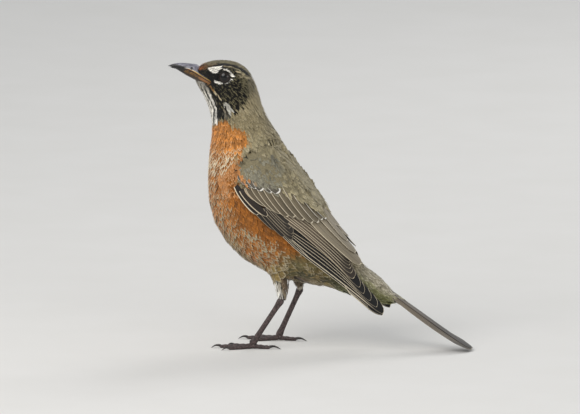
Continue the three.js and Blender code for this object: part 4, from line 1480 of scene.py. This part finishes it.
def tract_piece(side_name, key, spec):
    count = spec["count"]
    shorter = spec.get("right_shorter", 0) if side_name == "right" else 0
    draw = np.random.default_rng(count * 7 + len(key))
    grids, tints, rims = [], [], []
    for share in np.arange(count) / (count - 1):
        wobble = draw.normal(size=3)
        root = along_list(spec["roots"], share) + [ROOT_SCATTER * wobble[0], 0]
        tip = along_list(spec["tips"], share) + [TIP_SCATTER * wobble[1] - shorter, 0]
        grids.append(wing_feather(root, tip, along_list(spec["bow"], share), spec, SIDES[side_name]))
        tint = linear(along_list(spec["colours"], share)) * (1 + 0.07 * wobble[2])
        tints.append([*tint, draw.random()])
        rims.append([*linear(along_list(spec["edges"], share)), spec["strength"]])
    finish, slot = (QUILL, "flight_feathers") if key in FLIGHT else (COVERT, "wing_coverts")
    node = f"wing_{side_name}_{key}"
    replaced = [node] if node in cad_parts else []
    print(node, count)
    tints, rims = np.array(tints), np.array(rims)
    return row_piece(node + "_vanes", grids, tints, rims, finish, slot, QUILL_WALL, *replaced)


for side_name in SIDES:
    for key, spec in TRACTS.items():
        tract_piece(side_name, key, spec)

# %% [markdown]
# ## The tail
#
# Twelve stiff feathers close to a narrow, arched stack. The middle pair lies on top and hides most of
# the rest, whose outer edges show in steps at each side. Each feather is a grid from the root to the
# tip of the solid tail, and the stack thins towards the tip, which lies on the floor.

# %% Twelve tail feathers
TAIL_ROOT, TAIL_TIP = np.array([31.0, 0, 41.0]), np.array([94.8, 0, 0.3])
TAIL_HALF = (5.0, 10.8)  # half the width of the closed tail at its root and at its tip
TAIL_LONG, TAIL_BLUNT = 74, 7  # the length of a feather and of its rounded end
OUTER_WEB, INNER_WEB = 2.6, 4.6
TAIL_EDGING, TAIL_TIPPING = 0.4, 0.5
TAIL_TINT, TAIL_EDGE, EDGE_STRENGTH = (88, 78, 68), (168, 156, 138), 0.75


def tail_piece():
    way = TAIL_TIP - TAIL_ROOT
    up = unit(np.array([-way[2], 0, way[0]]))
    grids, tints, rims = [], [], []
    part, across = np.meshgrid(1 - (1 - np.linspace(0, 1, 22)) ** 1.6, np.linspace(-1, 1, 9), indexing="ij")
    for pair in range(6):
        for side in SIDES.values():
            own = chance.random()
            reach = 1 - 0.005 * (pair - 1) ** 2
            centre = side * (mix(*TAIL_HALF, part * reach) - OUTER_WEB) * (pair / 5) ** 0.85
            from_tip = (1 - part) * TAIL_LONG
            width = np.maximum(blunt(from_tip / TAIL_BLUNT), POINT) * ramp(part, -0.5, 0.5) * 0.95
            offset = np.where(across < 0, across * INNER_WEB, across * OUTER_WEB) * width
            y = centre + side * offset
            arch = 3.2 * (1 - (y / 11.5) ** 2) * ramp(part, 1.15, 0.4) - 1.8 * np.sin(np.pi * part)
            stack = -pair * mix(0.26, 0.1, part)
            points = TAIL_ROOT + way * (part * reach)[..., None] + up * (arch + stack + 1.0)[..., None]
            points[..., 1] = y
            points[..., 2] = np.maximum(points[..., 2], 0.12 + 0.06 * (5 - pair))
            from_outer = OUTER_WEB * width - offset
            vane = np.stack([across / 2 + 0.5, part], axis=-1)
            end = np.minimum(from_tip, from_outer + 9)
            reach_map = np.stack([from_outer / TAIL_EDGING, end / TAIL_TIPPING], axis=-1)
            if side > 0:
                points, vane, reach_map = points[:, ::-1], vane[:, ::-1], reach_map[:, ::-1]
            grids.append((points, vane, reach_map))
            tints.append([*linear(TAIL_TINT) * (0.92 + 0.16 * own), own])
            rims.append([*linear(TAIL_EDGE), EDGE_STRENGTH])
    tints, rims = np.array(tints), np.array(rims)
    return row_piece("tail_vanes", grids, tints, rims, QUILL, "flight_feathers", TAIL_WALL, "tail")


tail_piece()

# %% [markdown]
# ## The bill
#
# The upper half is a hard grey sheath with a ridge, the culmen, an oval nostril and a pale cutting
# edge towards the mouth's corner. The lower half is brown horn with a dark tip. Each half is a tube of
# rings drawn out from a circle and then pressed to its section, which is higher than wide near the
# tip and broad at the corner of the mouth. Behind the line where the feathers of the face start, the
# sheath sinks under them.

# %% Both halves of the bill
BILL_X, BILL_RINGS = (-96.5, -68.6), 44
bill_top = through([
    (-96.5, 175.7), (-95.2, 176.1), (-94, 176.6), (-91.5, 177.2), (-87, 177.5), (-82.4, 177.1),
    (-78, 176.4), (-73, 173.5), (-68.4, 167),
])
bill_mouth = through([
    (-97.5, 175.5), (-94, 175.5), (-90, 175.1), (-85.8, 174.3), (-83, 173.7), (-80, 172.4), (-76.4, 170.5),
    (-71.5, 167.8), (-68.5, 166.0),
])
bill_under = through([
    (-96.5, 175.45), (-95.2, 175.2), (-93, 174.4), (-91, 173.5), (-88.7, 172.1), (-85.4, 170.0),
    (-83.2, 168.8), (-80.8, 167.6), (-78.1, 166.3), (-75.4, 164.9), (-71.5, 163.3), (-68.4, 162.4),
])
bill_half = through([
    (-96.5, 0.05), (-95, 0.6), (-93.5, 1.0), (-90, 2.0), (-85, 3.0), (-80.8, 4.1), (-76.6, 5.5),
    (-71.5, 7.2), (-68.4, 7.6),
])
NOSTRIL, NOSTRIL_DEEP = (-81.3, 174.7), 0.5
BILL_TRIM = 0.1  # the outline lies this much inside the solid's
MOUTH_GAP = 0.12  # from the mouth's line to each cutting edge
LOWER_NARROW = 0.93  # the lower half is a little narrower


def tube(rings, sides):
    """A closed tube that is drawn out ring by ring from a circle of unit size."""
    form = bmesh.new()
    bmesh.ops.create_circle(form, cap_ends=True, segments=sides, radius=1.0)
    form.verts.ensure_lookup_table()
    loop = list(form.edges)
    placed = Matrix.Identity(4)
    for number, ring in enumerate(rings):
        if number:
            grown = bmesh.ops.extrude_edge_only(form, edges=loop)["geom"]
            loop = [part for part in grown if isinstance(part, bmesh.types.BMEdge)]
            loop = [edge for edge in loop if all(v in grown for v in edge.verts)]
        ends = {vertex for edge in loop for vertex in edge.verts}
        bmesh.ops.transform(form, matrix=ring @ placed.inverted(), verts=list(ends))
        placed = ring
    bmesh.ops.holes_fill(form, edges=form.edges, sides=sides)
    return form


def bill_place(x, bearing, upper):
    """A place on one half of the bill, its height off the cutting edge, and the dent of the nostril."""
    way, far = (1, bill_top) if upper else (-1, bill_under)
    mouth = float(bill_mouth(x))
    lift = max(math.cos(bearing), 0) ** 0.85 * abs(float(far(x)) - way * BILL_TRIM - mouth)
    z = mouth + way * (lift + MOUTH_GAP)
    dent = 0.0
    if upper:
        start = -80.0 + 1.4 * max(z - NOSTRIL[1], 0) + 0.8 * max(NOSTRIL[1] - z, 0)
        feathered = float(ramp(x - start, 0, 2.4)) * float(ramp(z - mouth, 1.1, 1.9))
        dent = float(ramp(math.hypot((x - NOSTRIL[0]) / 1.1, (z - NOSTRIL[1]) / 0.8), 1.2, 0.5))
        half, sink = float(bill_half(x)) - NOSTRIL_DEEP * dent, 0.9
    else:
        feathered = float(ramp(x, -76.0, -72.5)) * float(ramp(mouth - z, 2.9, 3.8))
        half, sink = float(bill_half(x)) * LOWER_NARROW, -0.6
    side = abs(math.sin(bearing)) ** 0.8 * math.copysign(1, math.sin(bearing))
    place = np.array([x, side * half * (1 - 0.25 * feathered), z - sink * feathered])
    return Vector(turned(place)), lift, dent


def bill_half_piece(name, upper, finish, slot, node):
    upright = Matrix.Rotation(math.pi / 2, 4, "Y")
    form = tube([Matrix.Translation((x, 0, 0)) @ upright for x in np.linspace(*BILL_X, BILL_RINGS)], 28)
    edge_layer, hole_layer = (form.verts.layers.float.new(key) for key in ("edge", "hole"))
    for vertex in form.verts:
        bearing = math.atan2(vertex.co.y, vertex.co.z)
        vertex.co, vertex[edge_layer], vertex[hole_layer] = bill_place(vertex.co.x, bearing, upper)
    piece = rounded(piece_of(name, form))
    print(name, len(piece.data.polygons), "faces")
    return finish_piece(piece, finish, slot, node)


def bill_values(finish, stretch, scale):
    """The place along the bill, the grain of its horn, and how far it is from the cutting edge."""
    place = finish.place()
    x = Value(finish, finish.node("SeparateXYZ", None, {0: place}).outputs[0])
    stretched = finish.node("VectorMath", {"operation": "MULTIPLY"}, {0: place, 1: (stretch, 1.6, 1.6)})
    return x, finish.noise(stretched.outputs[0], scale, 5.0), finish.number("edge")


def upper_bill_finish():
    made = Finish("upper bill sheath", Roughness=0.38, Coat_Weight=0.15, Coat_Roughness=0.3)
    x, grain, edge = bill_values(made, 0.35, 1.3)
    grey = made.coloured(rgba(84, 82, 92), rgba(140, 138, 150), made.smooth(grain, 0.32, 0.68))
    dark = made.smooth(x + grain * 3.0, -91.0, -95.0)
    band = made.smooth(edge + (grain - 0.5) * 1.6, 1.7, 1.1) * made.smooth(x, -82.0, -85.5)
    grey = made.coloured(grey, rgba(26, 23, 22), made.maths("MAXIMUM", dark, band))
    rear = made.smooth(x, -86.0, -82.5)
    yellow = made.coloured(rgba(206, 208, 204), rgba(226, 200, 112), made.smooth(x, -82.0, -77.0))
    pale = made.smooth(edge + grain * 0.3, 1.25, 0.9) * rear
    horn = made.coloured(grey, yellow, pale)
    horn = made.coloured(horn, rgba(150, 98, 44), made.smooth(edge + grain * 0.3, 0.7, 0.5) * rear)
    made.paint(made.coloured(horn, rgba(24, 14, 12), made.smooth(made.number("hole"), 0.25, 0.6)))
    made.bump(grain, 0.25, 0.15)
    return made.material


def lower_bill_finish():
    made = Finish("lower bill sheath", Roughness=0.42, Coat_Weight=0.1, Coat_Roughness=0.3)
    x, grain, edge = bill_values(made, 0.5, 1.4)
    horn = made.coloured(rgba(36, 25, 8), rgba(140, 98, 38), made.smooth(grain, 0.42, 0.66))
    horn = made.coloured(horn, rgba(176, 120, 70), made.smooth(x + grain * 4.0, -76.0, -72.0) * 0.5)
    horn = made.coloured(horn, rgba(30, 21, 13), made.smooth(edge + (grain - 0.5) * 1.6, 2.0, 3.0) * 0.85)
    horn = made.coloured(horn, rgba(30, 20, 13), made.smooth(edge, 0.5, 0.25))
    made.paint(made.coloured(horn, rgba(20, 17, 15), made.smooth(x + (grain - 0.5) * 4.0, -84.0, -86.5)))
    made.bump(grain, 0.25, 0.15)
    return made.material


UPPER_BILL, LOWER_BILL = upper_bill_finish(), lower_bill_finish()
bill_half_piece("bill_upper_sheath", True, UPPER_BILL, "upper_bill", "bill_upper")
bill_half_piece("bill_lower_sheath", False, LOWER_BILL, "lower_bill", "bill_lower")

# %% [markdown]
# ## The eyes
#
# A robin's eye is nearly black: a very dark brown iris round a black pupil, under a wet, glossy
# cornea. One smooth ball with a clear coat shows all that. The lids are a thin ring of bare black
# skin, a little wider than high, that clings to the ball, and the white marks are in the plumage
# round it.

# %% Balls and lids
def eye_finish():
    made = Finish("eye", Roughness=0.12, Coat_Weight=0.45, Coat_Roughness=0.03, Specular_IOR_Level=0.2)
    from_middle = made.number("edge")
    rays = made.noise(made.place(), 3.0, 3.0)
    iris = made.coloured(rgba(20, 12, 8), rgba(40, 24, 14), rays)
    pupil = made.smooth(from_middle, 2.3, 2.05)
    made.paint(made.coloured(iris, rgba(5, 4, 4), pupil))
    return made.material


def lid_finish():
    made = Finish("eyelid", Roughness=0.5)
    pits = made.noise(made.place(), 4.0, 3.0)
    made.paint(made.coloured(rgba(14, 12, 11), rgba(40, 34, 30), pits))
    made.bump(pits, 0.4, 0.1)
    return made.material


EYE, LID = eye_finish(), lid_finish()


def eye_pieces(side_name):
    centre, *axes = look(side_name)
    place = Matrix([(*row, at) for row, at in zip(np.stack(axes, axis=1), centre)] + [(0, 0, 0, 1)])
    ball = bmesh.new()
    bmesh.ops.create_uvsphere(ball, u_segments=48, v_segments=28, radius=eye_radius)
    edge = ball.verts.layers.float.new("edge")
    for vertex in ball.verts:
        vertex[edge] = math.hypot(vertex.co.x, vertex.co.y) if vertex.co.z > 0 else 9.0
    ball.transform(place)
    finish_piece(piece_of(f"eye_{side_name}_ball", ball), EYE, "eyes", "eye_" + side_name)

    lid = bmesh.new()
    bmesh.ops.create_circle(lid, cap_ends=False, segments=10, radius=0.4)
    lid.transform(Matrix.Translation((LID_RADIUS, 0, 0)) @ Matrix.Rotation(math.pi / 2, 4, "X"))
    ring = list(lid.verts) + list(lid.edges)
    turn = dict(axis=(0, 0, 1), cent=(0, 0, 0), angle=2 * math.pi, steps=56, use_merge=True)
    bmesh.ops.spin(lid, geom=ring, **turn)
    for vertex in lid.verts:
        bearing = math.atan2(vertex.co.y, vertex.co.x)
        corner = abs(math.cos(bearing)) ** 10
        vertex.co.x *= 1.02 + 0.05 * corner
        vertex.co.y *= 0.9
        flat = math.hypot(vertex.co.x, vertex.co.y)
        vertex.co.z += math.sqrt(max(eye_radius ** 2 - min(flat, 4.5) ** 2, 0.5)) + 0.02
    lid.transform(place)
    return finish_piece(piece_of(f"eye_{side_name}_lid", lid), LID, "plumage_head")


for side_name in SIDES:
    eye_pieces(side_name)
print("eye axes:", [look(side)[3].round(2) for side in SIDES])

# %% [markdown]
# ## Legs, toes and claws
#
# Each shank is a slim bone in dark, nearly smooth scales, oval in section, with a knob at the heel and
# another where the toes start. A toe swells at its pads and is ringed by fine ridges. Each is a tube
# drawn ring by ring along a line. A claw is the same tube, bent down and brought to a point.

# %% The finish of scales and claws
def scale_finish():
    made = Finish("leg scales", Roughness=0.5, Coat_Weight=0.12, Coat_Roughness=0.4)
    run = made.number("run")
    wave = made.maths("FRACT", run * 0.9)
    groove = made.smooth(made.maths("ABSOLUTE", wave - 0.5), 0.40, 0.49)
    mottle = made.noise(made.place(), 0.9, 4.0)
    horn = made.coloured(rgba(44, 32, 30), rgba(92, 74, 72), made.smooth(mottle, 0.35, 0.7))
    made.paint(made.coloured(horn, rgba(26, 19, 18), groove * 0.7))
    made.bump(mottle * 0.4 + (1 - groove), 0.5, 0.25)
    return made.material


def claw_finish():
    made = Finish("claw horn", Roughness=0.3, Coat_Weight=0.3, Coat_Roughness=0.2)
    grain = made.noise(made.place(), 1.5, 4.0)
    made.paint(made.coloured(rgba(22, 18, 17), rgba(58, 48, 44), made.smooth(grain, 0.3, 0.8)))
    made.bump(grain, 0.2, 0.1)
    return made.material


SCALES, CLAW = scale_finish(), claw_finish()


def limb_piece(name, line, sizes, finish, slot, *stands_for):
    """A tube along a line of points, with (half width, half depth) at each point."""
    line = [Vector(point) for point in line]
    rings = []
    for i, point in enumerate(line):
        way = (line[min(i + 1, len(line) - 1)] - line[max(i - 1, 0)]).normalized()
        beside = Vector((-way.y, way.x, 0)).normalized() if abs(way.z) < 0.9 else Vector((0, 1, 0))
        beside = (beside - way * beside.dot(way)).normalized()
        over = way.cross(beside)
        turn = Matrix([(*row,) for row in zip(beside, over, way)]).to_4x4()
        width, depth = sizes[i]
        rings.append(Matrix.Translation(point) @ turn @ Matrix.Diagonal((width, depth, 1, 1)))
    form = tube(rings, 16)
    run_layer = form.verts.layers.float.new("run")
    steps = np.r_[0, np.cumsum([(b - a).length for a, b in zip(line, line[1:])])]
    spots = np.array([tuple(point) for point in line])
    for vertex in form.verts:
        nearest = int(np.argmin(np.linalg.norm(spots - np.array(vertex.co), axis=1)))
        vertex[run_layer] = steps[nearest]
        vertex.co.z = max(vertex.co.z, 0.02)
    return finish_piece(rounded(piece_of(name, form)), finish, slot, *stands_for)


# %% Both legs
ANKLES = {"left": (-22.0, 32.2), "right": (-15.4, 34.6)}
FEET = {"left": (-40.8, 3.1), "right": (-29.6, 3.1)}
ANKLE_OUT, FOOT_OUT = 15.0, 15.8
SHANK_HALF = (1.3, 1.95)  # across and along the bird
RIDGE, RIDGE_STEP = 0.035, 1.15  # the ridges of the toes: their height as a share, and their distance
CLAW_SUNK = 0.7  # how far a claw starts inside its toe
TOES = {
    "inner": dict(length=14.5, turn=24, claw=5.4, fat=1.4),
    "middle": dict(length=20.5, turn=-2, claw=6.2, fat=1.5),
    "outer": dict(length=15.5, turn=-28, claw=5.4, fat=1.4),
    "hind": dict(length=11.0, turn=178, claw=7.8, fat=1.55),
}
shank_swell = through([
    (0, 0.5), (0.03, 1.12), (0.08, 1.2), (0.18, 0.94), (0.5, 0.86), (0.86, 0.96), (0.97, 1.2), (1.04, 0.9),
])
toe_swell = through([(0, 1.0), (0.1, 1.12), (0.32, 0.84), (0.46, 1.04), (0.68, 0.82), (0.82, 0.95), (1, 0.6)])


def foot_place(side_name, height):
    return np.array([FEET[side_name][0], SIDES[side_name] * FOOT_OUT, height])


def shank_piece(side_name):
    ankle = np.array([ANKLES[side_name][0], SIDES[side_name] * ANKLE_OUT, ANKLES[side_name][1]])
    way = foot_place(side_name, FEET[side_name][1]) - ankle
    parts = np.linspace(-0.04, 1.04, 30)
    swell = [float(shank_swell(max(part, 0))) for part in parts]
    line = [ankle + way * part for part in parts]
    sizes = [(SHANK_HALF[0] * size, SHANK_HALF[1] * size) for size in swell]
    limb_piece(f"shank_{side_name}_scaled", line, sizes, SCALES, "leg_scales", "shank_" + side_name)


def toe_pieces(side_name, key, length, turn, claw, fat):
    """A toe and its claw, turned out from straight ahead by some degrees."""
    bearing = math.pi + math.radians(turn) * SIDES[side_name]
    way = np.array([math.cos(bearing), math.sin(bearing), 0])
    foot = foot_place(side_name, 0)
    parts = np.linspace(0.0, 1.0, 26)
    ridges = 1 + RIDGE * np.cos(parts * length / RIDGE_STEP * 2 * np.pi)
    halves = [fat * float(toe_swell(part)) * ridge for part, ridge in zip(parts, ridges)]
    line = [foot + way * part * length + [0, 0, fat * 0.66 + 0.9 * (1 - part) ** 2] for part in parts]
    name = f"toe_{side_name}_{key}"
    limb_piece(name + "_scaled", line, [(half, half * 0.95) for half in halves], SCALES, "leg_scales", name)

    along = np.linspace(0, 1, 14)
    heights = fat * (0.5 + 0.95 * np.sin(np.pi * (along * 0.9 + 0.1)) - 0.8 * along)
    reach = length - CLAW_SUNK + along * (claw + 0.4)
    line = [foot + way * out + [0, 0, height] for out, height in zip(reach, heights)]
    sizes = [(0.46 * fat * share, 0.62 * fat * share) for share in 1 - 0.93 * along ** 1.3]
    name = f"claw_{side_name}_{key}"
    limb_piece(name + "_horn", line, sizes, CLAW, "claws", name)


for side_name in SIDES:
    shank_piece(side_name)
    for key, sizes in TOES.items():
        toe_pieces(side_name, key, **sizes)
print("legs: 2 shanks,", 2 * len(TOES), "toes and claws")

# %% [markdown]
# ## Floor, light and camera
#
# The bird stands on a plain pale floor in the light of a few big soft lamps, and the camera looks from
# its left, a little behind and above, with a long lens that keeps its proportions.

# %% Floor
def floor_finish():
    made = Finish("floor", Roughness=0.9, Specular_IOR_Level=0.1)
    made.paint(made.coloured(rgba(226, 224, 220), rgba(231, 229, 226), made.noise(made.place(), 0.02, 2.0)))
    return made.material


floor = bmesh.new()
bmesh.ops.create_circle(floor, cap_ends=True, segments=96, radius=4000)
floor_mesh = bpy.data.meshes.new("floor")
floor.to_mesh(floor_mesh)
floor.free()
floor_mesh.transform(Matrix.Scale(MM, 4))
floor_mesh.materials.append(floor_finish())
object_of("floor", floor_mesh)

# %% Lamps and sky
AIM = Vector((0.0, 0.0, 0.09))


def lamp(name, place, size, power, tone=(1, 1, 1)):
    light = bpy.data.lights.new(name, "AREA")
    light.shape, light.size, light.energy, light.color = "DISK", size, power, tone
    holder = bpy.data.objects.new(name, light)
    holder.location = place
    holder.rotation_euler = (AIM - Vector(place)).to_track_quat("-Z", "Y").to_euler()
    bpy.context.scene.collection.objects.link(holder)


lamp("key", (-0.75, -1.0, 1.15), 1.3, 15.0, (1.0, 0.985, 0.96))
lamp("fill", (1.1, -1.1, 0.55), 0.9, 4.0)
lamp("back", (0.5, 1.2, 1.1), 0.8, 6.0)

sky = bpy.data.worlds.new("sky")
bpy.context.scene.world = sky
sky.use_nodes = True
sky.node_tree.nodes["Background"].inputs["Color"].default_value = (0.94, 0.97, 1.0, 1)
sky.node_tree.nodes["Background"].inputs["Strength"].default_value = 0.5

# %% Camera
AZIMUTH, ELEVATION = math.radians(10), math.radians(10)
DISTANCE = 12.0
VIEW_WIDTH = 0.3621  # how much of the scene the picture takes in, at the bird
CENTRE = (-0.0195, 0.08686)  # the picture's middle, to the right and up from the origin
SENSOR = 36.0

right = Vector((math.cos(AZIMUTH), math.sin(AZIMUTH), 0))
back = Vector((
    math.sin(AZIMUTH) * math.cos(ELEVATION), -math.cos(AZIMUTH) * math.cos(ELEVATION), math.sin(ELEVATION),
))
above = back.cross(right)
lens = bpy.data.cameras.new("camera")
lens.sensor_width, lens.lens = SENSOR, SENSOR * DISTANCE / VIEW_WIDTH
lens.clip_end = 60
camera = bpy.data.objects.new("camera", lens)
stand = right * CENTRE[0] + above * CENTRE[1] + back * DISTANCE
camera.matrix_world = Matrix.Translation(stand) @ Matrix(list(zip(right, above, back))).to_4x4()
bpy.context.scene.collection.objects.link(camera)
bpy.context.scene.camera = camera
bpy.context.scene.view_settings.view_transform = "Standard"
